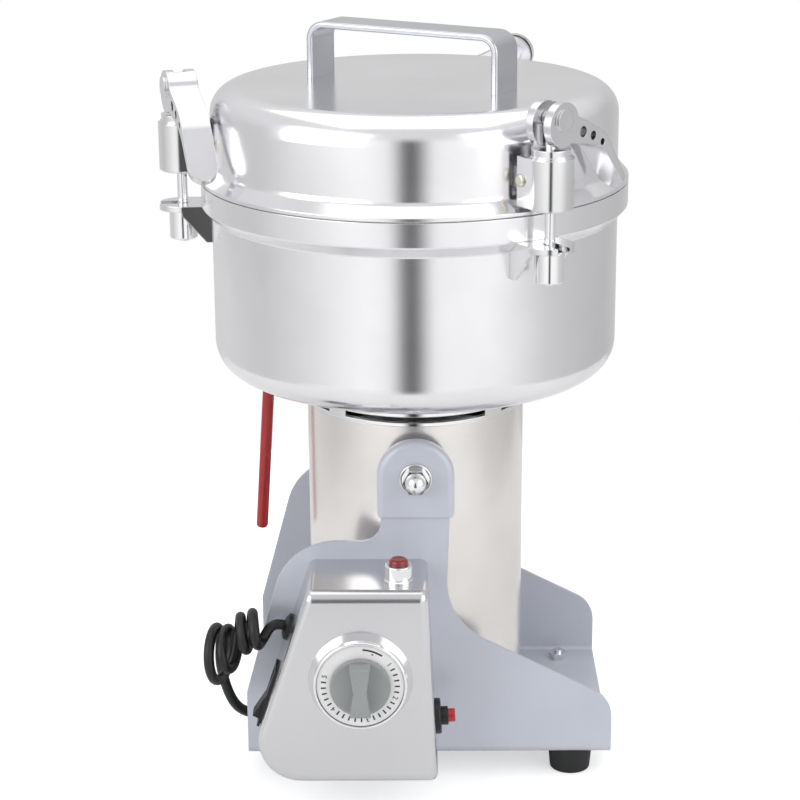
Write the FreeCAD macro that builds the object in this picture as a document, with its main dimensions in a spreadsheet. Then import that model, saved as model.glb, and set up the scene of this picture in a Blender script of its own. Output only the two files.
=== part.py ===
import FreeCAD, Part

import math
import os
import re

import Sketcher
from FreeCAD import Placement, Rotation, Vector

# Electric grain mill: a steel bowl with a clamped lid on a motor column.
# Bowl, lid and column tilt together on two trunnions in a painted stand.
# The vertical centre line of bowl and motor stands at (axis_x, axis_y).
# Lengths are millimetres, angles degrees, +Z up, the table at z = 0.

SIZES = {
    # centre line of the mill and its trunnion
    "axis_x": 10.28,
    "axis_y": 4.04,
    "pivot_height": 192.0,
    # stand
    "foot_height": 16.0,
    "foot_radius": 13.5,
    "foot_rounding": 1.2,
    "foot_recess": 4.5,
    "foot_left": 78.0,
    "foot_right": 93.5,
    "foot_side": 60.0,
    "foot_bolt_radius": 2.5,
    "foot_nut_radius": 5.0,
    "foot_nut_height": 4.0,
    "stand_sheet": 2.5,
    "stand_half_depth": 76.5,
    "stand_right": 117.0,
    "stand_left": 101.5,
    "stand_bend": 5.0,
    "slope_low": 51.5,
    "slope_high": 102.0,
    "slope_corner": 19.0,
    "neck_hollow": 41.0,
    "neck_half": 20.2,
    "waist_right": 17.6,
    "waist_left": 21.0,
    "wing_drop": 39.0,
    "wing_corner_x": 75.4,
    "wing_corner": 38.0,
    "wing_hollow": 11.0,
    "wing_low": 56.5,
    "wing_low_corner": 8.0,
    "ear_radius": 22.7,
    "ear_thickness": 6.5,
    "ear_proud": 1.0,
    "ear_rounding": 4.0,
    "ear_tail": 24.0,
    "bush_radius": 7.0,
    "bush_flange": 10.5,
    "bush_flange_thickness": 1.2,
    "trunnion_radius": 4.0,
    "turning_gap": 0.05,
    "seat_gap": 0.3,
    "washer_radius": 9.5,
    "washer_thickness": 1.6,
    "nut_radius": 7.0,
    "nut_height": 6.0,
    "dome_height": 6.5,
    # control box
    "box_depth": 52.5,
    "box_top": 142.0,
    "box_bottom": 23.0,
    "box_top_left": 61.9,
    "box_top_right": 6.5,
    "box_base_left": 101.3,
    "box_base_right": 12.5,
    "box_bevel": 6.5,
    "box_low_corner": 25.0,
    "box_small_corner": 4.5,
    "box_sheet": 1.5,
    "tab_reach": 11.0,
    "tab_inset": 11.0,
    "screw_radius": 2.0,
    # timer
    "dial_x": 32.0,
    "dial_z": 88.0,
    "collar_radius": 30.0,
    "collar_front": 26.6,
    "collar_depth": 8.5,
    "scale_radius": 25.0,
    "scale_thickness": 2.0,
    "scale_recess": 1.0,
    "knob_radius": 17.3,
    "knob_plate": 3.0,
    "knob_height": 12.0,
    "knob_gap": 0.8,
    "grip_width": 7.5,
    "grip_end": 12.0,
    "timer_radius": 24.0,
    "timer_depth": 26.0,
    "timer_shaft": 3.0,
    "timer_neck": 6.5,
    # lamp
    "lamp_x": 10.0,
    "lamp_back": 110.0,
    "lamp_hole": 5.5,
    "lamp_radius": 8.6,
    "lamp_height": 10.0,
    "lens_radius": 5.6,
    "lens_dome": 3.5,
    "lamp_length": 22.0,
    # overload cut-out
    "cutout_y": 104.0,
    "cutout_z": 54.0,
    "cutout_nut": 10.5,
    "cutout_nut_thickness": 3.5,
    "cutout_neck": 5.5,
    "cutout_neck_length": 4.2,
    "button_radius": 4.0,
    "button_length": 8.2,
    "button_travel": 3.0,
    "cutout_body": 8.5,
    "cutout_body_length": 26.0,
    # rocker switch on the slanted side
    "switch_y": 102.0,
    "switch_z": 68.0,
    "switch_width": 17.0,
    "switch_length": 37.0,
    "switch_frame": 1.4,
    "switch_frame_height": 1.6,
    "rocker_width": 11.4,
    "rocker_length": 30.0,
    "rocker_height": 3.2,
    "rocker_gap": 0.7,
    "rocker_tilt": 9.0,
    "switch_depth": 24.0,
    # cord
    "gland_y": 88.0,
    "gland_z": 104.0,
    "gland_flange": 8.0,
    "gland_barrel": 6.0,
    "gland_length": 3.5,
    "cord_diameter": 6.2,
    "small_loop": 10.2,
    "large_loop": 15.4,
    "large_pitch": 7.05,
    "hank_yaw": 14.5,
    "plug_length": 36.0,
    "plug_width": 24.0,
    "plug_height": 21.0,
    "plug_relief": 16.0,
    "pin_length": 16.0,
    "pin_width": 6.0,
    "pin_thickness": 1.6,
    "pin_pitch": 12.7,
    # motor column
    "column_radius": 65.4,
    "column_wall": 1.5,
    "column_bottom": 40.0,
    "column_rise": 27.8,
    "cap_thickness": 3.0,
    "cap_rounding": 6.0,
    "vent_width": 4.0,
    "vent_length": 26.0,
    "boss_radius": 12.0,
    "boss_depth": 8.0,
    # adaptor ring between column and bowl
    "adaptor_wall": 3.0,
    "slot_height": 3.6,
    "slot_gap": 2.2,
    "slot_angle": 78.0,
    "adaptor_height": 20.2,
    # bowl
    "bowl_radius": 120.0,
    "bowl_wall": 2.0,
    "floor_thickness": 4.0,
    "floor_corner": 19.0,
    "ring_flare": 6.0,
    "bowl_depth": 94.5,
    "chamfer_height": 6.5,
    "ring_height": 20.5,
    "ring_rounding": 1.5,
    "socket_depth": 8.0,
    # lid
    "lid_gap": 0.6,
    "lid_inset": 0.4,
    "lid_flare_height": 9.0,
    "lid_height": 55.6,
    "lid_shoulder": 16.0,
    "lid_wall": 2.0,
    "seal_width": 4.0,
    "seal_height": 4.5,
    # lid handle, a bent flat bar
    "handle_length": 127.0,
    "handle_height": 34.0,
    "handle_width": 26.0,
    "handle_bar": 4.0,
    "handle_corner": 11.0,
    "handle_turn": -30.0,
    "handle_x": -2.0,
    "handle_y": -6.0,
    # clamps, three round the lid
    "clamp_first": -57.5,
    "clamp_step": 120.0,
    "stud_reach": 17.0,
    "hinge_reach": 7.5,
    "hinge_rise": 21.0,
    "hinge_pin": 2.0,
    "rivet_radius": 3.6,
    "rivet_head": 1.6,
    "barrel_radius": 13.0,
    "cheek_reach": 3.8,
    "cheek_thickness": 2.5,
    "pocket_reach": 11.9,
    "bush_rim": 11.8,
    "bush_stand": 1.2,
    "tongue_width": 20.0,
    "tongue_half": 6.0,
    "nose_radius": 4.0,
    "barrel_rise": 6.5,
    "barrel_height": 27.5,
    "washer_collar": 11.0,
    "collar_height": 5.0,
    "stud_radius": 3.0,
    "stud_gap": 0.1,
    "head_radius": 4.3,
    "head_width": 6.8,
    "stud_tail": 23.0,
    "pivot_rise": 15.85,
    "clamp_nut": 8.2,
    "clamp_nut_height": 17.5,
    "fork_thickness": 3.5,
    "fork_width": 28.0,
    "fork_slot": 4.0,
    "gusset_height": 18.0,
    "cam_radius": 12.4,
    "cam_offset": 2.85,
    "cam_phase": 15.0,
    "lever_width": 17.0,
    "lever_reach": 60.0,
    "lever_fall": 47.0,
    "lever_twist": 16.0,
    "lever_pin": 1.8,
    "pin_head": 6.3,
    "slot_back": 4.8,
    "lever_nose": 8.4,
    # tilting rod
    "rod_radius": 2.5,
    "grip_radius": 3.6,
    "rod_top_ring": 91.0,
    "rod_bottom_ring": 99.0,
    "rod_bottom": 126.0,
    "rod_turn": 168.0,
    # motor inside
    "stator_inner": 50.0,
    "coil_width": 7.0,
    "coil_overhang": 8.0,
    "pole_width": 40.0,
    "stator_bottom": 96.0,
    "stator_top": 156.0,
    "stator_bore": 30.5,
    "armature_radius": 30.0,
    "shaft_radius": 6.0,
    "shaft_bottom": 54.0,
    "shaft_neck": 4.0,
    "bearing_radius": 16.0,
    "bearing_height": 10.0,
    "lower_bearing": 58.0,
    "bearing_inset": 12.8,
    "bracket_thickness": 4.0,
    "commutator_radius": 18.0,
    "commutator_bottom": 72.0,
    "commutator_height": 16.0,
    "slot_width": 1.2,
    "brush_length": 16.0,
    "fan_radius": 46.0,
    "fan_bottom": 166.0,
    "fan_height": 14.0,
    # grinding blades
    "blade_length": 180.0,
    "blade_width": 20.0,
    "blade_thickness": 3.0,
    "blade_clearance": 10.0,
}

# Sizes that follow from the ones above, each a sum of them
SUMS = {
    "wing_top": "pivot_height - wing_drop",
    "column_top": "pivot_height + column_rise",
    "bowl_floor": "column_top + adaptor_height",
    "ring_radius": "bowl_radius + ring_flare",
    "ring_bottom": "bowl_floor + bowl_depth",
    "ring_chamfer_top": "ring_bottom + chamfer_height",
    "ring_top": "ring_bottom + ring_height",
    "lid_radius": "bowl_radius - lid_inset",
    "lid_top": "ring_top + lid_height",
    "stud_ring": "bowl_radius + stud_reach",
    "hinge_ring": "bowl_radius + hinge_reach",
    "hinge_height": "ring_top + hinge_rise",
    "barrel_bottom": "ring_top + barrel_rise",
    "barrel_top": "barrel_bottom + barrel_height",
    "fork_top": "ring_chamfer_top",
    "stud_bottom": "fork_top - stud_tail",
    "upper_bearing": "column_top - bearing_inset",
    "blade_height": "bowl_floor + floor_thickness + blade_clearance",
}

doc = FreeCAD.newDocument("GrainMill")
sheet = doc.addObject("Spreadsheet::Sheet", "Sizes")
for row, (alias, number) in enumerate(SIZES.items(), start=1):
    sheet.set(f"A{row}", alias)
    sheet.set(f"B{row}", str(number))
    sheet.setAlias(f"B{row}", alias)
doc.recompute()

NAMES = re.compile(r"\b(" + "|".join([*SIZES, *SUMS]) + r")\b")
UPRIGHT = Rotation()
FACING = Rotation(Vector(1, 0, 0), 90)
nodes = []


class SheetValues:
    """Reads a size from the sheet by its name, or adds up the sizes of a sum."""

    def __getattr__(self, name):
        if name not in SUMS:
            return float(sheet.get(name))
        total = 0
        sign = 1
        for word in SUMS[name].split():
            if word in "+-":
                sign = 1 if word == "+" else -1
            else:
                total += sign * getattr(self, word)
        return total


size = SheetValues()


def spelled(name):
    """A name as the sheet knows it; a sum is written out."""
    if name in SUMS:
        return "(" + NAMES.sub(lambda found: spelled(found.group()), SUMS[name]) + ")"
    return "Sizes." + name


def tie(thing, target, text):
    """Bind a property to an expression written in the names of sizes."""
    thing.setExpression(target, NAMES.sub(lambda found: spelled(found.group()), text))


def keep(thing, label, x="0", y="0", z="0", turn=UPRIGHT):
    """Name a sub-part and place it, x and y counted from the mill's centre line."""
    thing.Label = label
    thing.Placement = Placement(Vector(), turn)
    tie(thing, "Placement.Base.x", f"axis_x + ({x})")
    tie(thing, "Placement.Base.y", f"axis_y + ({y})")
    tie(thing, "Placement.Base.z", z)
    nodes.append(thing)
    return thing


def move(thing, x="0", y="0", z="0", turn=UPRIGHT):
    """Place a piece inside the sub-part that it belongs to."""
    thing.Placement = Placement(Vector(), turn)
    tie(thing, "Placement.Base.x", x)
    tie(thing, "Placement.Base.y", y)
    tie(thing, "Placement.Base.z", z)
    return thing


def new_body(name):
    return doc.addObject("PartDesign::Body", name)


def new_sketch(body, plane, offset="0"):
    """A sketch on one of the body's own planes, moved along the plane's normal."""
    sketch = body.newObject("Sketcher::SketchObject", "Outline")
    origin_plane = [one for one in body.Origin.OriginFeatures if one.Role == plane + "_Plane"]
    sketch.AttachmentSupport = [(origin_plane[0], "")]
    sketch.MapMode = "FlatFace"
    tie(sketch, "AttachmentOffset.Base.z", offset)
    return sketch


def pin_down(sketch, geometry, position, x, y, start):
    for kind, text, number in (("DistanceX", x, start.x), ("DistanceY", y, start.y)):
        rule = sketch.addConstraint(Sketcher.Constraint(kind, -1, 1, geometry, position, number))
        tie(sketch, f"Constraints[{rule}]", text)


def polygon(body, plane, corners, offset="0"):
    """A closed outline; each corner is two expressions."""
    sketch = new_sketch(body, plane, offset)
    count = len(corners)
    start = []
    for index in range(count):
        angle = 2 * math.pi * index / count
        start.append(Vector(5 + math.cos(angle), math.sin(angle), 0))
    for index in range(count):
        line = Part.LineSegment(start[index], start[(index + 1) % count])
        sketch.addGeometry(line, False)
    for index in range(count):
        joined = Sketcher.Constraint("Coincident", index, 2, (index + 1) % count, 1)
        sketch.addConstraint(joined)
    for index, (x, y) in enumerate(corners):
        pin_down(sketch, index, 1, x, y, start[index])
    return sketch


def circles(body, plane, rounds, offset="0"):
    """Circles in one sketch, each given as x, y and radius expressions."""
    sketch = new_sketch(body, plane, offset)
    for index, (x, y, radius) in enumerate(rounds):
        middle = Vector(1 + 3 * index, 1, 0)
        sketch.addGeometry(Part.Circle(middle, Vector(0, 0, 1), 1), False)
        pin_down(sketch, index, 3, x, y, middle)
        rule = sketch.addConstraint(Sketcher.Constraint("Radius", index, 1))
        tie(sketch, f"Constraints[{rule}]", radius)
    return sketch


def feature(body, kind, sketch, length, midplane=False, reverse=False):
    """Pad or pocket a sketch; a pocket has to take material away."""
    doc.recompute()
    before = body.Shape.Volume if body.Tip else 0
    step = body.newObject("PartDesign::" + kind, kind)
    step.Profile = sketch
    step.Midplane = midplane
    step.Reversed = reverse
    tie(step, "Length", length)
    doc.recompute()
    if kind == "Pocket" and not step.Shape.Volume < before:
        raise RuntimeError(body.Name + ": a pocket cuts nothing")
    return step


def revolve(body, sketch, kind="Revolution"):
    doc.recompute()
    step = body.newObject("PartDesign::" + kind, kind)
    step.Profile = sketch
    step.ReferenceAxis = (sketch, ["V_Axis"])
    step.Angle = 360
    doc.recompute()
    return step


def turned(name, corners):
    """A body turned about its own Z axis from an outline of radius and height."""
    body = new_body(name)
    revolve(body, polygon(body, "XZ", corners))
    return body


def dress(body, kind, amount, wanted):
    """Fillet or chamfer the edges that the test picks."""
    doc.recompute()
    last = body.Tip
    names = []
    for number, edge in enumerate(last.Shape.Edges, start=1):
        if wanted(edge):
            names.append(f"Edge{number}")
    if not names:
        raise RuntimeError(body.Name + ": no edge to " + kind)
    step = body.newObject("PartDesign::" + kind, kind)
    step.Base = (last, names)
    tie(step, "Radius" if kind == "Fillet" else "Size", amount)
    doc.recompute()
    return step


def ring_at(radius, height):
    """Test for a level round edge of this radius at this height."""
    def wanted(edge):
        curve = edge.Curve
        if not isinstance(curve, Part.Circle):
            return False
        return abs(curve.Radius - radius) < 1e-4 and abs(curve.Center.z - height) < 1e-4
    return wanted


def line_at(**place):
    """Test for a straight edge whose two ends have these coordinates."""
    def wanted(edge):
        if not isinstance(edge.Curve, Part.Line) or len(edge.Vertexes) != 2:
            return False
        for vertex in edge.Vertexes:
            for letter, number in place.items():
                if abs(getattr(vertex.Point, letter) - number) > 1e-3:
                    return False
        return True
    return wanted


def cylinder(name, radius, height, x="0", y="0", z="0", turn=UPRIGHT):
    piece = doc.addObject("Part::Cylinder", name)
    tie(piece, "Radius", radius)
    tie(piece, "Height", height)
    return move(piece, x, y, z, turn)


def block(name, length, width, height, x="0", y="0", z="0", turn=UPRIGHT):
    """A box centred on x and y, standing on z before it is turned."""
    piece = doc.addObject("Part::Box", name)
    tie(piece, "Length", length)
    tie(piece, "Width", width)
    tie(piece, "Height", height)
    piece.Placement = Placement(Vector(), turn)
    shift = turn.multVec(Vector(1, 0, 0)), turn.multVec(Vector(0, 1, 0))
    for letter, text in (("x", x), ("y", y), ("z", z)):
        along = round(getattr(shift[0], letter), 9)
        across = round(getattr(shift[1], letter), 9)
        tie(piece, "Placement.Base." + letter,
            f"{text} - ({along}) * ({length}) / 2 - ({across}) * ({width}) / 2")
    return piece


def hexagon(name, flat_radius, height, z="0"):
    """A six-sided prism; the radius reaches the middle of each flat."""
    piece = doc.addObject("Part::Prism", name)
    piece.Polygon = 6
    tie(piece, "Circumradius", f"({flat_radius}) / cos(30)")
    tie(piece, "Height", height)
    return move(piece, z=z)


def cut(name, base, tool):
    piece = doc.addObject("Part::Cut", name)
    piece.Base = base
    piece.Tool = tool
    return piece


def fuse(name, *pieces):
    piece = doc.addObject("Part::MultiFuse", name)
    piece.Shapes = list(pieces)
    return piece


def group(name, *pieces):
    """Separate solids kept together in one sub-part."""
    piece = doc.addObject("Part::Compound", name)
    piece.Links = list(pieces)
    return piece


def copies(name, master, places):
    """Copies of one piece as separate solids; each place is a Placement."""
    links = []
    for place in places:
        link = doc.addObject("App::Link", name + "Copy")
        link.LinkedObject = master
        link.LinkTransform = True
        link.Placement = place
        links.append(link)
    return group(name, *links)


def from_code(name, shape):
    """A shape that neither sketches nor primitives make."""
    piece = doc.addObject("Part::Feature", name)
    piece.Shape = shape
    return piece


# Stand: one folded sheet with two uprights, thicker rounded ears at the top

def stand_frame():
    outline = new_body("StandOutline")
    neck_top = "pivot_height - ear_radius / 2"
    corners = [
        ("stand_right", "0"),
        ("stand_right", "slope_low"),
        ("waist_right", "slope_high"),
        ("neck_half", neck_top),
        ("-neck_half", neck_top),
        ("-waist_left", "wing_top"),
        ("-wing_corner_x", "wing_top"),
        ("-stand_left", "wing_low"),
        ("-stand_left", "0"),
    ]
    width = "2 * stand_half_depth + 20"
    feature(outline, "Pad", polygon(outline, "XZ", corners), width, midplane=True)
    roundings = (
        ("slope_corner", size.stand_right, size.slope_low),
        ("neck_hollow", size.waist_right, size.slope_high),
        ("wing_hollow", -size.waist_left, size.wing_top),
        ("wing_corner", -size.wing_corner_x, size.wing_top),
        ("wing_low_corner", -size.stand_left, size.wing_low),
    )
    for radius, x, z in roundings:
        dress(outline, "Fillet", radius, line_at(x=x, z=z))
    channel = new_body("StandChannel")
    inner = "stand_half_depth - stand_sheet"
    floor = "foot_height + stand_sheet"
    top = "pivot_height"
    section = [
        ("-stand_half_depth", "foot_height"),
        ("stand_half_depth", "foot_height"),
        ("stand_half_depth", top),
        (inner, top),
        (inner, floor),
        (f"-({inner})", floor),
        (f"-({inner})", top),
        ("-stand_half_depth", top),
    ]
    length = "stand_left + stand_right + 40"
    feature(channel, "Pad", polygon(channel, "YZ", section), length, midplane=True)
    depth = size.stand_half_depth
    for side in (-1, 1):
        outer_bend = line_at(y=side * depth, z=size.foot_height)
        dress(channel, "Fillet", "stand_bend", outer_bend)
        bend_y = side * (depth - size.stand_sheet)
        inner_bend = line_at(y=bend_y, z=size.foot_height + size.stand_sheet)
        dress(channel, "Fillet", "stand_bend - stand_sheet", inner_bend)
    folded = doc.addObject("Part::Common", "FoldedSheet")
    folded.Base = channel
    folded.Tool = outline
    pieces = [folded]
    for turn in (0, 180):
        pieces.append(move(stand_ear(), turn=Rotation(Vector(0, 0, 1), turn)))
    whole = fuse("StandSolid", *pieces)
    tools = [cylinder("EarHole", "bush_radius + turning_gap", "2 * stand_half_depth + 20",
                      y="stand_half_depth + 10", z="pivot_height", turn=FACING)]
    for x, y in foot_places():
        tools.append(cylinder("FootHole", "foot_bolt_radius + seat_gap", "foot_height * 2",
                              x=x, y=y))
    for x, z in tab_places():
        tools.append(cylinder("TabHole", "screw_radius + seat_gap", "20", x=x, z=z,
                              y="10 - stand_half_depth", turn=FACING))
    keep(cut("StandFrame", whole, fuse("StandHoles", *tools)), "stand_frame")


def stand_ear():
    """Thick ear with a rounded outer edge, standing a little proud of the sheet."""
    ear = new_body("Ear")
    face = "stand_half_depth + ear_proud - ear_thickness"
    foot = "pivot_height - ear_tail"
    corners = [
        ("-ear_radius + ear_proud", foot),
        ("ear_radius - ear_proud", foot),
        ("ear_radius", f"{foot} + ear_proud * 2"),
        ("ear_radius", "pivot_height"),
        ("-ear_radius", "pivot_height"),
        ("-ear_radius", f"{foot} + ear_proud * 2"),
    ]
    feature(ear, "Pad", polygon(ear, "XZ", corners, face), "ear_thickness")
    top = circles(ear, "XZ", [("0", "pivot_height", "ear_radius")], face)
    feature(ear, "Pad", top, "ear_thickness")
    front = -(size.stand_half_depth + size.ear_proud)
    low = size.pivot_height - size.ear_tail + 2 * size.ear_proud - 0.01

    def outer_edge(edge):
        ends = [vertex.Point for vertex in edge.Vertexes]
        return all(abs(end.y - front) < 1e-3 and end.z > low for end in ends)
    dress(ear, "Fillet", "ear_rounding", outer_edge)
    return ear


def foot_places():
    places = []
    for x in ("-foot_left", "foot_right"):
        for y in ("-foot_side", "foot_side"):
            places.append((x, y))
    return places


def at_places(pairs):
    """Placements for copies at pairs of sheet names, a minus sign turning one round."""
    spots = []
    for x, y in pairs:
        numbers = []
        for name in (x, y):
            sign = -1 if name.startswith("-") else 1
            numbers.append(sign * getattr(size, name.lstrip("-")))
        spots.append(Placement(Vector(numbers[0], numbers[1], 0), UPRIGHT))
    return spots


def feet():
    shoulder = "foot_recess"
    foot = turned("Foot", [
        ("foot_nut_radius + 1", "0"),
        ("foot_radius - 1.5", "0"),
        ("foot_radius", "foot_height"),
        ("foot_bolt_radius + turning_gap", "foot_height"),
        ("foot_bolt_radius + turning_gap", shoulder),
        ("foot_nut_radius + 1", shoulder),
    ])
    dress(foot, "Fillet", "foot_rounding", ring_at(size.foot_radius - 1.5, 0))
    keep(copies("RubberFeet", foot, at_places(foot_places())), "rubber_feet")
    top = "foot_height + stand_sheet"
    bolt = turned("FootBolt", [
        ("0", f"{shoulder} - foot_nut_height + 1"),
        ("foot_nut_radius", f"{shoulder} - foot_nut_height + 1"),
        ("foot_nut_radius", shoulder),
        ("foot_bolt_radius", shoulder),
        ("foot_bolt_radius", f"{top} + foot_nut_height + 2"),
        ("0", f"{top} + foot_nut_height + 2"),
    ])
    nut = cut("FootNut", hexagon("FootHex", "foot_nut_radius", "foot_nut_height", top),
              cylinder("FootThread", "foot_bolt_radius + turning_gap", "40"))
    pair = group("BoltAndNut", bolt, nut)
    keep(copies("FootBolts", pair, at_places(foot_places())), "foot_bolts")


# Trunnions: flanged bushes in the ears, bolts of the column through them

def both_sides(name, master, reach):
    """One copy at the front and one at the back, each pointing outwards."""
    spots = []
    for sign, turn in ((-1, FACING), (1, Rotation(Vector(1, 0, 0), -90))):
        spots.append(Placement(Vector(0, sign * reach, size.pivot_height), turn))
    return copies(name, master, spots)


def trunnions():
    bore = "trunnion_radius + turning_gap"
    bush = turned("Bush", [
        (bore, "0"),
        ("bush_flange", "0"),
        ("bush_flange", "bush_flange_thickness"),
        ("bush_radius", "bush_flange_thickness"),
        ("bush_radius", "bush_flange_thickness + ear_thickness"),
        (bore, "bush_flange_thickness + ear_thickness"),
    ])
    ear_face = size.stand_half_depth + size.ear_proud
    bush_start = ear_face - size.ear_thickness - size.bush_flange_thickness
    keep(both_sides("Bushes", bush, bush_start), "trunnion_bushes")

    spacer_end = bush_start - size.seat_gap
    spacer = turned("Spacer", [
        (bore, "0"),
        ("bush_flange - 1.5", "0"),
        ("bush_flange - 1.5", str(spacer_end - size.column_radius - size.seat_gap)),
        (bore, str(spacer_end - size.column_radius - size.seat_gap)),
    ])
    washer = turned("Washer", [
        (bore, "0"),
        ("washer_radius", "0"),
        ("washer_radius", "washer_thickness"),
        (bore, "washer_thickness"),
    ])
    dress(washer, "Fillet", "0.6", ring_at(size.washer_radius, size.washer_thickness))
    spacers = both_sides("Spacers", spacer, size.column_radius + size.seat_gap)
    washers = both_sides("Washers", washer, ear_face + size.seat_gap)

    boss_face = size.column_radius - size.column_wall
    head = boss_face - size.boss_depth
    nut_start = ear_face + size.seat_gap + size.washer_thickness
    bolt = turned("TrunnionBolt", [
        ("0", "-nut_height"),
        ("nut_radius", "-nut_height"),
        ("nut_radius", "0"),
        ("trunnion_radius", "0"),
        ("trunnion_radius", f"{nut_start - head} + nut_height"),
        ("0", f"{nut_start - head} + nut_height"),
    ])
    keep(both_sides("TrunnionBolts", bolt, head), "trunnion_bolts")

    dome = turned("Dome", [
        ("0", "0"),
        ("nut_radius - 1.2", "0"),
        ("nut_radius - 1.2", "nut_height + dome_height"),
        ("0", "nut_height + dome_height"),
    ])
    crown = ring_at(size.nut_radius - 1.2, size.nut_height + size.dome_height)
    dress(dome, "Fillet", "nut_radius - 1.8", crown)
    solid = fuse("NutSolid", hexagon("NutHex", "nut_radius", "nut_height"), dome)
    nut = cut("AcornNut", solid, cylinder("NutThread", bore, "nut_height + 1", z="-0.5"))
    nuts = both_sides("AcornNuts", nut, nut_start)
    keep(group("TrunnionNuts", spacers, washers, nuts), "trunnion_nuts")


# Control box: folded polished shell with four tabs, its front edge rolled at the top

SIDE_SLOPE = "(box_base_left - box_top_left) / (box_top - box_bottom)"
RIGHT_SLOPE = "(box_base_right - box_top_right) / (box_top - box_bottom)"
BOX_FRONT = "stand_half_depth + box_depth"


def left_face(height):
    return f"(-box_top_left - (box_top - {height}) * {SIDE_SLOPE})"


def right_face(height):
    return f"(box_top_right + (box_top - {height}) * {RIGHT_SLOPE})"


def slope_angle(low, high):
    return math.degrees(math.atan2(low - high, size.box_top - size.box_bottom))


LEFT_LEAN = slope_angle(size.box_base_left, size.box_top_left)
RIGHT_LEAN = slope_angle(size.box_base_right, size.box_top_right)
OUT_LEFT = Rotation(Vector(0, 1, 0), LEFT_LEAN - 90)
OUT_RIGHT = Rotation(Vector(0, 1, 0), 90 - RIGHT_LEAN)


def behind(x, y, z, turn):
    """A start 5 mm behind a place on a panel, for a tool that cuts through it."""
    back = turn.multVec(Vector(0, 0, -5))
    return f"{x} + ({back.x:.6f})", y, f"{z} + ({back.z:.6f})", turn


def tab_places():
    """Screw places of the box tabs, two at the top and two at the bottom."""
    top = "box_top - box_sheet - tab_reach / 2"
    bottom = "box_bottom + box_sheet + tab_reach / 2"
    return (
        ("-box_top_left + tab_inset", top),
        ("box_top_right - tab_inset", top),
        ("-box_base_left + box_low_corner + tab_inset", bottom),
        ("box_base_right - tab_inset", bottom),
    )


def box_hollow():
    """The room inside the box, one sheet thickness smaller all round."""
    room = new_body("BoxHollow")
    slant = math.cos(math.radians(LEFT_LEAN))
    corners = [
        (f"-box_top_left + box_sheet / {slant} - box_sheet * {SIDE_SLOPE}",
         "box_top - box_sheet"),
        ("box_top_right - box_sheet", "box_top - box_sheet"),
        ("box_base_right - box_sheet", "box_bottom + box_sheet"),
        (f"-box_base_left + box_sheet / {slant} + box_sheet * {SIDE_SLOPE}",
         "box_bottom + box_sheet"),
    ]
    outline = polygon(room, "XZ", corners, "stand_half_depth - 1")
    feature(room, "Pad", outline, "box_depth - box_sheet + 1")
    front = -(size.stand_half_depth + size.box_depth - size.box_sheet)
    top = size.box_top - size.box_sheet

    def low_left(edge):
        ends = [vertex.Point for vertex in edge.Vertexes]
        return all(end.x < -size.box_top_left and end.z < top for end in ends)
    dress(room, "Fillet", "box_low_corner - box_sheet", low_left)
    dress(room, "Fillet", "box_bevel - box_sheet", line_at(y=front, z=top))
    return room


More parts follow.
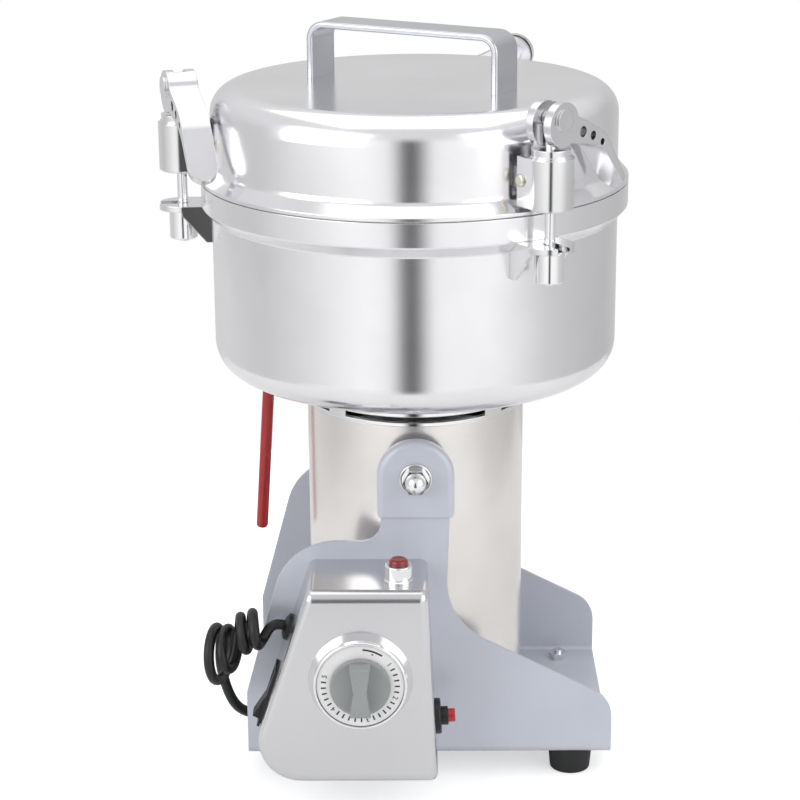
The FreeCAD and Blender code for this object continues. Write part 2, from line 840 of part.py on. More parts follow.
def control_box():
    box = new_body("BoxShell")
    corners = [
        ("-box_top_left", "box_top"),
        ("box_top_right", "box_top"),
        ("box_base_right", "box_bottom"),
        ("-box_base_left", "box_bottom"),
    ]
    outline = polygon(box, "XZ", corners, "stand_half_depth")
    feature(box, "Pad", outline, "box_depth")
    back = -size.stand_half_depth
    front = back - size.box_depth
    low_left = line_at(x=-size.box_base_left, z=size.box_bottom)
    dress(box, "Fillet", "box_low_corner", low_left)
    dress(box, "Fillet", "box_bevel", line_at(y=front, z=size.box_top))

    def on_side(point):
        drop = size.box_top - point.z
        left = -size.box_top_left - drop * math.tan(math.radians(LEFT_LEAN))
        right = size.box_top_right + drop * math.tan(math.radians(RIGHT_LEAN))
        return abs(point.x - left) < 1e-3 or abs(point.x - right) < 1e-3

    def rim(edge):
        ends = [vertex.Point for vertex in edge.Vertexes]
        if all(abs(end.y - back) < 1e-3 for end in ends):
            return False
        if all(on_side(end) for end in ends):
            same_side = (ends[0].x > 0) == (ends[-1].x > 0)
            return same_side
        level = all(end.z < size.box_bottom + size.box_low_corner + 5 for end in ends)
        return level and all(abs(end.y - front) < 1e-3 for end in ends)
    dress(box, "Fillet", "box_small_corner", rim)
    shell = cut("BoxSkin", box, box_hollow())
    tabs = []
    for x, z in tab_places():
        tabs.append(block("Tab", "tab_reach", "box_sheet", "tab_reach + box_sheet", x=x,
                          y="-stand_half_depth - box_sheet / 2",
                          z=f"{z} - (tab_reach + box_sheet) / 2"))
    whole = fuse("ShellSolid", shell, *tabs)
    tools = [
        cylinder("DialHole", "timer_neck + turning_gap", "10", x="-dial_x", z="dial_z",
                 y=f"5 - ({BOX_FRONT})", turn=FACING),
        cylinder("LampHole", "lamp_hole + turning_gap", "10", x="-lamp_x", y="-lamp_back",
                 z="box_top - 5"),
        cylinder("CutoutHole", "cutout_neck + turning_gap", "10",
                 *behind(right_face("cutout_z"), "-cutout_y", "cutout_z", OUT_RIGHT)),
        cylinder("GlandHole", "gland_barrel + turning_gap", "10",
                 *behind(left_face("gland_z"), "-gland_y", "gland_z", OUT_LEFT)),
        block("SwitchWindow", "switch_length - 2 * switch_frame + 1",
              "switch_width - 2 * switch_frame + 1", "10",
              *behind(left_face("switch_z"), "-switch_y", "switch_z", OUT_LEFT)),
    ]
    for x, z in tab_places():
        tools.append(cylinder("ScrewHole", "screw_radius + turning_gap", "10", x=x, z=z,
                              y="5 - stand_half_depth", turn=FACING))
    keep(cut("ControlBox", whole, fuse("BoxHoles", *tools)), "control_box_shell")

    screws = []
    for x, z in tab_places():
        head = turned("BoxScrew", [
            ("0", "-screw_radius"),
            ("screw_radius * 2", "-screw_radius"),
            ("screw_radius * 2", "0"),
            ("screw_radius", "0"),
            ("screw_radius", "stand_sheet + box_sheet + 3"),
            ("0", "stand_sheet + box_sheet + 3"),
        ])
        screws.append(move(head, x, "stand_sheet - stand_half_depth", z, FACING))
    keep(group("BoxScrews", *screws), "box_screws")


# Timer: works behind the panel, a chrome collar, the printed scale and the knob

def timer():
    panel = f"-({BOX_FRONT})"
    bore = "timer_shaft + turning_gap"
    seat = "collar_depth - scale_thickness - scale_recess"
    collar = turned("DialCollar", [
        ("timer_neck + turning_gap", "0"),
        ("collar_radius", "0"),
        ("collar_front + 1", "collar_depth - 2"),
        ("collar_front", "collar_depth"),
        ("scale_radius + seat_gap", "collar_depth"),
        ("scale_radius + seat_gap", seat),
        ("timer_neck + turning_gap", seat),
    ])
    dress(collar, "Fillet", "0.5", ring_at(size.collar_front, size.collar_depth))
    keep(collar, "dial_collar", "-dial_x", panel, "dial_z", FACING)
    scale = turned("DialScale", [
        ("timer_shaft + seat_gap", seat),
        ("scale_radius", seat),
        ("scale_radius", "collar_depth - scale_recess"),
        ("timer_shaft + seat_gap", "collar_depth - scale_recess"),
    ])
    keep(scale, "dial_scale", "-dial_x", panel, "dial_z", FACING)
    works = turned("TimerWorks", [
        (bore, "-box_sheet - timer_depth"),
        ("timer_radius", "-box_sheet - timer_depth"),
        ("timer_radius", "-box_sheet"),
        ("timer_neck", "-box_sheet"),
        ("timer_neck", seat),
        (bore, seat),
    ])
    keep(works, "timer_body", "-dial_x", panel, "dial_z", FACING)

    knob = new_body("Knob")
    under = "collar_depth - scale_recess + knob_gap"
    plate = circles(knob, "XY", [("0", "0", "knob_radius")], under)
    feature(knob, "Pad", plate, "knob_plate")
    dress(knob, "Fillet", "knob_plate / 3",
          ring_at(size.knob_radius, size.collar_depth - size.scale_recess + size.knob_gap
                  + size.knob_plate))
    half = "knob_radius - 1.8"
    grip = polygon(knob, "XY", [
        ("-grip_end / 2", half),
        ("-grip_width / 2", "0"),
        ("-grip_end / 2", f"-({half}) + 1"),
        ("grip_end / 2", f"-({half}) + 1"),
        ("grip_width / 2", "0"),
        ("grip_end / 2", half),
    ], under)
    feature(knob, "Pad", grip, "knob_height")
    top = size.collar_depth - size.scale_recess + size.knob_gap + size.knob_height

    def crown(edge):
        return all(abs(vertex.Z - top) < 1e-3 for vertex in edge.Vertexes)
    dress(knob, "Fillet", "1.2", crown)
    hole = circles(knob, "XY", [("0", "0", bore)], under)
    feature(knob, "Pocket", hole, "knob_height - 3", reverse=True)
    keep(knob, "timer_knob", "-dial_x", panel, "dial_z", FACING)
    spindle = turned("TimerShaft", [
        ("0", "-box_sheet - timer_depth + 2"),
        ("timer_shaft", "-box_sheet - timer_depth + 2"),
        ("timer_shaft", f"{under} + knob_height - 3 - seat_gap"),
        ("0", f"{under} + knob_height - 3 - seat_gap"),
    ])
    keep(spindle, "timer_shaft", "-dial_x", panel, "dial_z", FACING)


# Lamp, overload cut-out and rocker switch on the box

def lamp():
    bezel = turned("LampBezel", [
        ("0", "-lamp_length"),
        ("lamp_hole", "-lamp_length"),
        ("lamp_hole", "0"),
        ("lamp_radius", "0"),
        ("lamp_radius", "1.2"),
        ("lamp_radius - 0.7", "1.7"),
        ("lamp_radius - 0.7", "lamp_height"),
        ("lens_radius + turning_gap", "lamp_height"),
        ("lens_radius + turning_gap", "1"),
        ("0", "1"),
    ])
    dress(bezel, "Fillet", "0.8", ring_at(size.lamp_radius - 0.7, size.lamp_height))
    keep(bezel, "lamp_bezel", "-lamp_x", "-lamp_back", "box_top")
    lens = turned("LampLens", [
        ("0", "1"),
        ("lens_radius", "1"),
        ("lens_radius", "lamp_height + lens_dome"),
        ("0", "lamp_height + lens_dome"),
    ])
    crown = ring_at(size.lens_radius, size.lamp_height + size.lens_dome)
    dress(lens, "Fillet", "lens_dome * 0.6", crown)
    keep(lens, "lamp_lens", "-lamp_x", "-lamp_back", "box_top")
    nut = turned("LampNut", [
        ("lamp_hole + turning_gap", "-box_sheet - 3"),
        ("lamp_radius", "-box_sheet - 3"),
        ("lamp_radius", "-box_sheet"),
        ("lamp_hole + turning_gap", "-box_sheet"),
    ])
    move(nut, "-lamp_x", "-lamp_back", "box_top")
    gland_nut = turned("GlandNut", [
        ("gland_barrel + turning_gap", "-box_sheet - 3"),
        ("gland_flange", "-box_sheet - 3"),
        ("gland_flange", "-box_sheet"),
        ("gland_barrel + turning_gap", "-box_sheet"),
    ])
    move(gland_nut, left_face("gland_z"), "-gland_y", "gland_z", OUT_LEFT)
    keep(group("PanelNuts", nut, gland_nut), "panel_nuts")


def cutout():
    place = (right_face("cutout_z"), "-cutout_y", "cutout_z", OUT_RIGHT)
    neck_end = "cutout_nut_thickness + cutout_neck_length"
    body = turned("CutoutBody", [
        ("0", "-box_sheet - cutout_body_length"),
        ("cutout_body", "-box_sheet - cutout_body_length"),
        ("cutout_body", "-box_sheet"),
        ("cutout_neck", "-box_sheet"),
        ("cutout_neck", neck_end),
        ("button_radius + turning_gap", neck_end),
        ("button_radius + turning_gap", f"{neck_end} - button_length - button_travel"),
        ("0", f"{neck_end} - button_length - button_travel"),
    ])
    dress(body, "Fillet", "0.5", ring_at(size.cutout_neck, size.cutout_nut_thickness
                                         + size.cutout_neck_length))
    keep(body, "overload_body", *place)
    nut = turned("CutoutNut", [
        ("cutout_neck + turning_gap", "0"),
        ("cutout_nut", "0"),
        ("cutout_nut", "cutout_nut_thickness"),
        ("cutout_neck + turning_gap", "cutout_nut_thickness"),
    ])
    dress(nut, "Fillet", "1.2", ring_at(size.cutout_nut, size.cutout_nut_thickness))
    keep(nut, "overload_nut", *place)
    start = f"{neck_end} - button_length / 2"
    button = turned("Button", [
        ("0", start),
        ("button_radius", start),
        ("button_radius", f"{start} + button_length"),
        ("0", f"{start} + button_length"),
    ])
    top = (size.cutout_nut_thickness + size.cutout_neck_length + size.button_length / 2)
    dress(button, "Fillet", "0.8", ring_at(size.button_radius, top))
    keep(button, "overload_button", *place)


def rocker_switch():
    place = (left_face("switch_z"), "-switch_y", "switch_z", OUT_LEFT)
    window = ("rocker_length + 2 * rocker_gap", "rocker_width + 2 * rocker_gap")
    frame = block("SwitchFrame", "switch_length", "switch_width", "switch_frame_height")
    under = block("SwitchUnder", "switch_length - 2 * switch_frame",
                  "switch_width - 2 * switch_frame", "switch_depth", z="-switch_depth")
    well = block("SwitchWell", *window, "switch_depth", z="4 - switch_depth / 2")
    bezel = cut("SwitchBezel", fuse("SwitchSolid", frame, under), well)
    keep(bezel, "switch_bezel", *place)

    rocker = new_body("Rocker")
    half = "rocker_length / 2"
    profile = polygon(rocker, "XZ", [
        (f"-({half})", "-1.5"),
        ("-4", "-4.5"),
        ("4", "-4.5"),
        (half, "-1.5"),
        (half, "rocker_height"),
        ("0", "rocker_height / 2"),
        (f"-({half})", "rocker_height"),
    ])
    feature(rocker, "Pad", profile, "rocker_width", midplane=True)
    tilted = OUT_LEFT.multiply(Rotation(Vector(0, 1, 0), size.rocker_tilt))
    keep(rocker, "switch_rocker", *place[:3], tilted)


# Mains lead: gland, two small turns and two large ones, then a tail to the plug

def arc_middle(start, tangent, end):
    """Middle of the arc that leaves start along the tangent; None when it is straight."""
    along = unit(end - start)
    sideways = tangent - along * tangent.dot(along)
    if sideways.Length < 1e-6:
        return None
    half_turn = math.acos(max(-1, min(1, tangent.dot(along))))
    rise = (end - start).Length / 2 * math.tan(half_turn / 2)
    return (start + end) * 0.5 + unit(sideways) * rise


def arc_edge(start, middle, end):
    if middle is None:
        return Part.LineSegment(start, end).toShape()
    return Part.Arc(start, middle, end).toShape()


def biarc(start, leaving, end, arriving):
    """Two arcs that share a tangent and join both ends smoothly."""
    gap = end - start
    bend = 2 * (1 - leaving.dot(arriving))
    along = gap.dot(leaving + arriving)
    if bend < 1e-9:
        reach = gap.dot(gap) / (2 * along)
    else:
        reach = (-along + math.sqrt(along ** 2 + bend * gap.dot(gap))) / bend
    joint = (start + end + (leaving - arriving) * reach) * 0.5
    first = arc_edge(start, arc_middle(start, leaving, joint), joint)
    second = arc_edge(joint, arc_middle(end, arriving * -1, joint), end)
    return [first, second]


def unit(vector):
    answer = Vector(vector)
    answer.normalize()
    return answer


# Middle of the small turns, how far they move a turn, and middle of the large turns,
# all counted from the tip of the gland
SMALL_MIDDLE = Vector(-13.8, -9.6, 2.1)
SMALL_STEP = Vector(-7.4, 3.9, -4.0)
LARGE_MIDDLE = Vector(-31.2, 1.9, -20.0)
SMALL_TURN = 0.5
LARGE_TURN = 2.5
WIDEN_START = 2.16
WIDEN_END = 2.97
FIRST_TURN = 0.56
LAST_TURN = 4.25


def blend(turns):
    """0 on the small turns, 1 on the large ones, with a smooth change between."""
    share = (turns - WIDEN_START) / (WIDEN_END - WIDEN_START)
    share = max(0, min(1, share))
    return share * share * (3 - 2 * share)


def on_hank(tip, turns):
    """The middle of the cord after this many turns."""
    share = blend(turns)
    yaw = math.radians(size.hank_yaw)
    step = Vector(-math.cos(yaw), math.sin(yaw), 0) * size.large_pitch
    small = tip + SMALL_MIDDLE + SMALL_STEP * (turns - SMALL_TURN)
    large = tip + LARGE_MIDDLE + step * (turns - LARGE_TURN)
    middle = small * (1 - share) + large * share
    radius = size.small_loop * (1 - share) + size.large_loop * share
    back = Vector(math.sin(yaw * share), math.cos(yaw * share), 0)
    angle = 2 * math.pi * turns
    return middle + (Vector(0, 0, 1) * math.cos(angle) + back * math.sin(angle)) * radius


def hank_stations():
    """Points and tangents at every quarter turn, after a straight start at the gland."""
    normal = OUT_LEFT.multVec(Vector(0, 0, 1))
    drop = size.box_top - size.gland_z
    face_x = -size.box_top_left - drop * math.tan(math.radians(LEFT_LEAN))
    tip = Vector(face_x, -size.gland_y, size.gland_z) + normal * size.gland_length
    stations = [(tip, normal), (tip + normal * size.cord_diameter, normal)]
    turns = [FIRST_TURN]
    while turns[-1] < LAST_TURN:
        turns.append((math.floor(turns[-1] * 4) + 1) / 4)
    for turn in turns:
        heading = unit(on_hank(tip, turn + 0.001) - on_hank(tip, turn - 0.001))
        stations.append((on_hank(tip, turn), heading))
    end, heading = stations[-1]
    stations.append((end + heading * size.cord_diameter, heading))
    return stations


def hank_edges():
    stations = hank_stations()
    edges = [Part.LineSegment(stations[0][0], stations[1][0]).toShape()]
    for (start, leaving), (end, arriving) in zip(stations[1:-2], stations[2:-1]):
        edges += biarc(start, leaving, end, arriving)
    edges.append(Part.LineSegment(stations[-2][0], stations[-1][0]).toShape())
    return edges


def sweep(edges, radius, name):
    """A round tube along the edges; its volume is compared with section times length."""
    wire = Part.Wire(edges)
    start = edges[0].valueAt(edges[0].FirstParameter)
    heading = edges[0].tangentAt(edges[0].FirstParameter)
    ring = Part.Wire([Part.makeCircle(radius, start, heading)])
    tube = wire.makePipeShell([ring], True, False)
    wanted = math.pi * radius ** 2 * wire.Length
    print(f"{name}: length {wire.Length:.1f}, volume ratio {tube.Volume / wanted:.4f}")
    if abs(tube.Volume / wanted - 1) > 0.02:
        raise RuntimeError(name + ": the tube's volume is wrong")
    return tube


def self_gap(edges, diameter, name):
    """Print the least gap between two turns, measured on points along the path."""
    points = []
    travel = 0.0
    for edge in edges:
        count = max(2, int(edge.Length / 1.5))
        for index, point in enumerate(edge.discretize(count + 1)[:-1]):
            points.append((travel + edge.Length * index / count, point))
        travel += edge.Length
    least = travel
    for index, (here, point) in enumerate(points):
        for there, other in points[index + 1:]:
            if there - here > 5 * diameter:
                least = min(least, point.distanceToPoint(other))
    print(f"{name}: least gap to itself {least - diameter:.2f}")


def tube_path(points, name):
    """Straight runs joined by arcs as large as the shorter run beside each allows."""
    edges = []
    radii = []
    at = points[0]
    for before, corner, after in zip(points, points[1:], points[2:]):
        into = unit(corner - before)
        out = unit(after - corner)
        half_turn = math.acos(max(-1, min(1, into.dot(out)))) / 2
        setback = 0.45 * min((corner - before).Length, (after - corner).Length)
        radii.append(round(setback / math.tan(half_turn), 1))
        start = corner - into * setback
        end = corner + out * setback
        edges.append(Part.LineSegment(at, start).toShape())
        edges.append(arc_edge(start, arc_middle(start, into, end), end))
        at = end
    edges.append(Part.LineSegment(at, points[-1]).toShape())
    print(f"{name}: bend radii {radii}")
    return edges


# The tail behind the wing, its last run square to the plug, which lies on the stand's floor
PLUG_X = -90
PLUG_Y = -6
PLUG_LIFT = 0.4
TAIL_END = 16
TAIL_POINTS = [
    Vector(-112, -61, 43),
    Vector(-103, -51, 31),
    Vector(-93, -37, 26),
]


def mains_lead():
    place = (left_face("gland_z"), "-gland_y", "gland_z", OUT_LEFT)
    gland = turned("Gland", [
        ("0", "-box_sheet - 7"),
        ("gland_barrel", "-box_sheet - 7"),
        ("gland_barrel", "0"),
        ("gland_flange", "0"),
        ("gland_flange", "1.8"),
        ("cord_diameter / 2 + 1.6", "gland_length"),
        ("0", "gland_length"),
    ])
    keep(gland, "cord_gland", *place)
    radius = size.cord_diameter / 2
    edges = hank_edges()
    self_gap(edges, size.cord_diameter, "cord_hank")
    keep(from_code("Hank", sweep(edges, radius, "cord_hank")), "cord_hank")

    end, heading = hank_stations()[-1]
    plug = Vector(PLUG_X, PLUG_Y, size.foot_height + size.stand_sheet + PLUG_LIFT
                  + size.plug_height / 2)
    route = [end, end + heading * 15, *TAIL_POINTS, plug - Vector(0, TAIL_END, 0), plug]
    tail = sweep(tube_path(route, "cord_tail"), radius, "cord_tail")
    keep(from_code("Tail", tail), "cord_tail")

    body_start = plug.y + size.plug_relief
    relief = turned("PlugRelief", [
        ("0", "0"),
        ("cord_diameter / 2 + 0.6", "0"),
        ("cord_diameter / 2 + 2.8", "plug_relief"),
        ("0", "plug_relief"),
    ])
    away = Rotation(Vector(1, 0, 0), -90)
    relief.Placement = Placement(plug, away)
    grip = block("PlugBody", "plug_width", "plug_length", "plug_height",
                 x=str(plug.x), y=f"{body_start} + plug_length / 2",
                 z=f"{plug.z} - plug_height / 2")
    corners = doc.addObject("Part::Fillet", "PlugCorners")
    corners.Base = grip
    doc.recompute()
    corners.Edges = [(number, 4.0, 4.0) for number, edge in enumerate(grip.Shape.Edges, 1)
                     if abs(edge.tangentAt(edge.FirstParameter).y) > 0.9]
    keep(fuse("Plug", relief, corners), "power_plug")
    pins = []
    for step in (-0.5, 0.5):
        pins.append(block("PlugPin", "pin_thickness", "pin_length", "pin_width",
                          x=f"{plug.x} + {step} * pin_pitch",
                          y=f"{body_start} + plug_length + pin_length / 2",
                          z=f"{plug.z} - pin_width / 2"))
    keep(group("PlugPins", *pins), "plug_pins")


# Motor column: sleeve, vented end cap, slotted adaptor ring under the bowl

def pattern(body, original, count):
    """Repeat the last feature round the body's Z axis."""
    step = body.newObject("PartDesign::PolarPattern", "Pattern")
    axis = [one for one in body.Origin.OriginFeatures if one.Role == "Z_Axis"]
    step.Originals = [original]
    step.Axis = (axis[0], [""])
    step.Angle = 360
    step.Occurrences = count
    body.Tip = step
    doc.recompute()
    return step


COLUMN_BORE = "(column_radius - column_wall)"
CAP_TOP = "(column_bottom + cap_thickness)"


def column():
    sleeve = turned("Sleeve", [
        (COLUMN_BORE, CAP_TOP),
        ("column_radius", CAP_TOP),
        ("column_radius", "column_top"),
        (COLUMN_BORE, "column_top"),
    ])
    bore = "trunnion_radius + turning_gap"
    through = cylinder("SleeveHole", bore, "2 * column_radius + 20", y="column_radius + 10",
                       z="pivot_height", turn=FACING)
    keep(cut("MotorSleeve", sleeve, through), "motor_sleeve")

    cap = turned("EndCap", [
        ("shaft_radius + 8", "column_bottom"),
        ("column_radius", "column_bottom"),
        ("column_radius", CAP_TOP),
        (f"{COLUMN_BORE} - turning_gap", CAP_TOP),
        (f"{COLUMN_BORE} - turning_gap", f"{CAP_TOP} + cap_rounding"),
        (f"{COLUMN_BORE} - cap_thickness", f"{CAP_TOP} + cap_rounding"),
        (f"{COLUMN_BORE} - cap_thickness", CAP_TOP),
        ("shaft_radius + 8", CAP_TOP),
    ])
    dress(cap, "Fillet", "cap_thickness * 0.8", ring_at(size.column_radius, size.column_bottom))
    start = "stator_inner - vent_length"
    vent = polygon(cap, "XY", [
        (start, "-vent_width / 2"),
        (f"{start} + vent_length", "-vent_width / 2"),
        (f"{start} + vent_length", "vent_width / 2"),
        (start, "vent_width / 2"),
    ], CAP_TOP)
    pattern(cap, feature(cap, "Pocket", vent, "cap_thickness * 2"), 12)
    keep(cap, "motor_end_cap")

    boss = doc.addObject("Part::Common", "BossShape")
    boss.Base = cylinder("BossBar", "boss_radius", "2 * column_radius", y="column_radius",
                         z="pivot_height", turn=FACING)
    boss.Tool = cylinder("BossLimit", f"{COLUMN_BORE} - turning_gap", "column_top")
    middle = block("BossGap", "4 * boss_radius", f"2 * ({COLUMN_BORE} - boss_depth)",
                   "column_top")
    hole = cylinder("BossHole", bore, "2 * column_radius + 20", y="column_radius + 10",
                    z="pivot_height", turn=FACING)
    keep(cut("TrunnionBosses", boss, fuse("BossTools", middle, hole)), "trunnion_bosses")

    inner = "column_radius - adaptor_wall"
    ring = turned("Adaptor", [
        (f"{COLUMN_BORE} - cap_thickness", "column_top - cap_rounding"),
        (f"{COLUMN_BORE} - turning_gap", "column_top - cap_rounding"),
        (f"{COLUMN_BORE} - turning_gap", "column_top"),
        ("column_radius", "column_top"),
        ("column_radius", "bowl_floor - adaptor_wall"),
        ("column_radius + adaptor_wall * 2", "bowl_floor - adaptor_wall"),
        ("column_radius + adaptor_wall * 2", "bowl_floor"),
        (inner, "bowl_floor"),
        (inner, "column_top"),
        (f"{COLUMN_BORE} - cap_thickness", "column_top"),
    ])
    slots = []
    for quarter in range(4):
        turn = Rotation(Vector(0, 0, 1), 90 * quarter - size.slot_angle / 2)
        slot = cylinder("AdaptorSlot", "column_radius + 1", "slot_height", turn=turn,
                        z="column_top + slot_gap")
        tie(slot, "Angle", "slot_angle")
        slots.append(slot)
    keep(cut("AdaptorRing", ring, fuse("AdaptorSlots", *slots)), "adaptor_ring")


# Bowl with its belled rim and three clamp forks; lid with seal, handle and lugs

def bowl():
    hole = "shaft_radius + seat_gap"
    inner = "bowl_radius - bowl_wall"
    floor = "bowl_floor + floor_thickness"
    groove_out = "ring_radius - 1.5"
    groove_in = "ring_radius - 1.5 - seal_width"
    groove_low = "ring_top - seal_height"
    shell = turned("BowlShell", [
        (hole, "bowl_floor"),
        ("bowl_radius", "bowl_floor"),
        ("bowl_radius", "ring_bottom"),
        ("ring_radius", "ring_chamfer_top"),
        ("ring_radius", "ring_top"),
        (groove_out, "ring_top"),
        (groove_out, groove_low),
        (groove_in, groove_low),
        (groove_in, "ring_top"),
        (inner, "ring_top"),
        (inner, floor),
        (hole, floor),
    ])
    dress(shell, "Fillet", "floor_corner", ring_at(size.bowl_radius, size.bowl_floor))
    dress(shell, "Fillet", "floor_corner - bowl_wall",
          ring_at(size.bowl_radius - size.bowl_wall, size.bowl_floor + size.floor_thickness))
    dress(shell, "Fillet", "ring_rounding", ring_at(size.ring_radius, size.ring_chamfer_top))
    dress(shell, "Fillet", "ring_rounding", ring_at(size.bowl_radius, size.ring_bottom))
    keep(shell, "bowl_shell")
    seal = turned("Seal", [
        (f"{groove_in} + turning_gap", groove_low),
        (f"{groove_out} - turning_gap", groove_low),
        (f"{groove_out} - turning_gap", "ring_top + lid_gap - seat_gap"),
        (f"{groove_in} + turning_gap", "ring_top + lid_gap - seat_gap"),
    ])
    keep(seal, "lid_seal")


def lid():
    rim = "ring_top + lid_gap"
    spigot = "bowl_radius - bowl_wall - lid_gap"
    flare_top = f"{rim} + lid_flare_height"
    shell = turned("LidShell", [
        (f"{spigot} - lid_wall", "ring_top - socket_depth"),
        (spigot, "ring_top - socket_depth"),
        (spigot, rim),
        ("ring_radius", rim),
        ("ring_radius", f"{rim} + lid_wall"),
        ("lid_radius", flare_top),
        ("lid_radius", "lid_top"),
        ("0", "lid_top"),
        ("0", "lid_top - lid_wall"),
        ("lid_radius - lid_wall", "lid_top - lid_wall"),
        ("lid_radius - lid_wall", flare_top),
        (f"{spigot} - lid_wall", rim + " + lid_wall"),
    ])
    dress(shell, "Fillet", "lid_shoulder", ring_at(size.lid_radius, size.lid_top))
    dress(shell, "Fillet", "lid_shoulder - lid_wall",
          ring_at(size.lid_radius - size.lid_wall, size.lid_top - size.lid_wall))
    flare = size.ring_top + size.lid_gap + size.lid_flare_height
    dress(shell, "Fillet", "ring_rounding * 3", ring_at(size.lid_radius, flare))
    keep(shell, "lid_shell")

    bar = new_body("Handle")
    half = "handle_length / 2"
    inner = f"({half} - handle_bar)"
    profile = polygon(bar, "XZ", [
        (f"-{half}", "0"),
        (f"-{half}", "handle_height"),
        (half, "handle_height"),
        (half, "0"),
        (inner, "0"),
        (inner, "handle_height - handle_bar"),
        (f"-{inner}", "handle_height - handle_bar"),
        (f"-{inner}", "0"),
    ])
    feature(bar, "Pad", profile, "handle_width", midplane=True)
    for side in (-1, 1):
        x = side * size.handle_length / 2
        dress(bar, "Fillet", "handle_corner", line_at(x=x, z=size.handle_height))
        x = side * (size.handle_length / 2 - size.handle_bar)
        dress(bar, "Fillet", "handle_corner - handle_bar",
              line_at(x=x, z=size.handle_height - size.handle_bar))
    side_y = size.handle_width / 2

    def long_edge(edge):
        ends = [vertex.Point for vertex in edge.Vertexes]
        flat = all(end.z < 1e-3 for end in ends)
        return not flat and all(abs(abs(end.y) - side_y) < 1e-3 for end in ends) \
            and abs(ends[0].y - ends[-1].y) < 1e-3
    dress(bar, "Fillet", "handle_bar * 0.35", long_edge)
    keep(bar, "lid_handle", "handle_x", "handle_y", "lid_top",
         Rotation(Vector(0, 0, 1), size.handle_turn))


# Clamps. Each is drawn at the front, x along the rim and y pointing to the centre.

def clamp_turns():
    turns = []
    for number in range(3):
        azimuth = size.clamp_first + number * size.clamp_step
        turns.append(Rotation(Vector(0, 0, 1), azimuth + 90))
    return turns


def round_the_rim(name, master):
    return copies(name, master, [Placement(Vector(), turn) for turn in clamp_turns()])


def along_rim(name, radius, length, y, z):
    """A cylinder lying along the rim, centred on the clamp."""
    return cylinder(name, radius, length, x=f"-({length}) / 2", y=y, z=z,
                    turn=Rotation(Vector(0, 1, 0), 90))


def across_rim(name, radius, length, x, y, z):
    """A cylinder lying across the rim, centred on y."""
    return cylinder(name, radius, length, x=x, y=f"{y} + ({length}) / 2", z=z, turn=FACING)


def forks():
    plate_low = "(fork_top - fork_thickness)"
    end = "fork_width / 2"
    sheet_thickness = "fork_thickness * 0.7"
    plate = block("ForkPlate", "fork_width", "stud_ring - bowl_radius + 2", "fork_thickness",
                  y="-(stud_ring + bowl_radius - 2) / 2", z=plate_low)
    nose = cylinder("ForkNose", end, "fork_thickness", y="-stud_ring", z=plate_low)
    gussets = []
    for side in (-1, 1):
        gusset = new_body("Gusset")
        outline = polygon(gusset, "YZ", [
            ("-bowl_radius + 2", plate_low),
            ("-stud_ring", plate_low),
            ("-stud_ring", f"{plate_low} - 2"),
            ("-bowl_radius - 3", f"{plate_low} - gusset_height"),
            ("-bowl_radius + 2", f"{plate_low} - gusset_height"),
        ], f"{side} * (fork_width - {sheet_thickness}) / 2")
        feature(gusset, "Pad", outline, sheet_thickness, midplane=True)
        gussets.append(gusset)
    slot = block("ForkSlot", "2 * fork_slot", "fork_width", "fork_thickness * 3",
                 y=f"-stud_ring - {end}", z=f"{plate_low} - fork_thickness")
    slot_end = cylinder("SlotEnd", "fork_slot", "fork_thickness * 3", y="-stud_ring",
                        z=f"{plate_low} - fork_thickness")
    room = turned("BowlRoom", [
        ("0", "bowl_floor"),
        ("bowl_radius + turning_gap", "bowl_floor"),
        ("bowl_radius + turning_gap", "ring_bottom"),
        ("ring_radius + turning_gap", "ring_chamfer_top"),
        ("0", "ring_chamfer_top"),
    ])
    solid = fuse("ForkSolid", plate, nose, *gussets)
    fork = cut("Fork", solid, fuse("ForkRoom", slot, slot_end, room))
    keep(round_the_rim("BowlForks", fork), "bowl_forks")


def lid_brackets():
    """Tongues on the lid that reach between the cheeks of the housings, and their pins."""
    solid = block("Tongue", "tongue_width", "hinge_ring - lid_radius + 4", "2 * tongue_half",
                  y="-(hinge_ring + lid_radius - 4) / 2", z="hinge_height - tongue_half")
    nose = along_rim("TongueNose", "nose_radius", "tongue_width", "-hinge_ring",
                     "hinge_height")
    room = cylinder("LidRoom", "lid_radius + turning_gap", "lid_top")
    hole = along_rim("TongueHole", "hinge_pin + turning_gap", "2 * tongue_width",
                     "-hinge_ring", "hinge_height")
    tongue = cut("LidTongue", fuse("TongueSolid", solid, nose), fuse("TongueRoom", room, hole))
    keep(round_the_rim("LidBrackets", tongue), "lid_brackets")

    reach = "(barrel_radius + turning_gap)"
    rivet = turned("Rivet", [
        ("0", f"-{reach} - rivet_head"),
        ("rivet_radius", f"-{reach} - rivet_head"),
        ("rivet_radius", f"-{reach}"),
        ("hinge_pin", f"-{reach}"),
        ("hinge_pin", reach),
        ("rivet_radius", reach),
        ("rivet_radius", f"{reach} + rivet_head"),
        ("0", f"{reach} + rivet_head"),
    ])
    half = size.barrel_radius + size.turning_gap + size.rivet_head
    dress(rivet, "Fillet", "rivet_head * 0.6", ring_at(size.rivet_radius, half))
    dress(rivet, "Fillet", "rivet_head * 0.6", ring_at(size.rivet_radius, -half))
    move(rivet, y="-hinge_ring", z="hinge_height", turn=Rotation(Vector(0, 1, 0), 90))
    keep(round_the_rim("ClampPins", rivet), "clamp_pins")


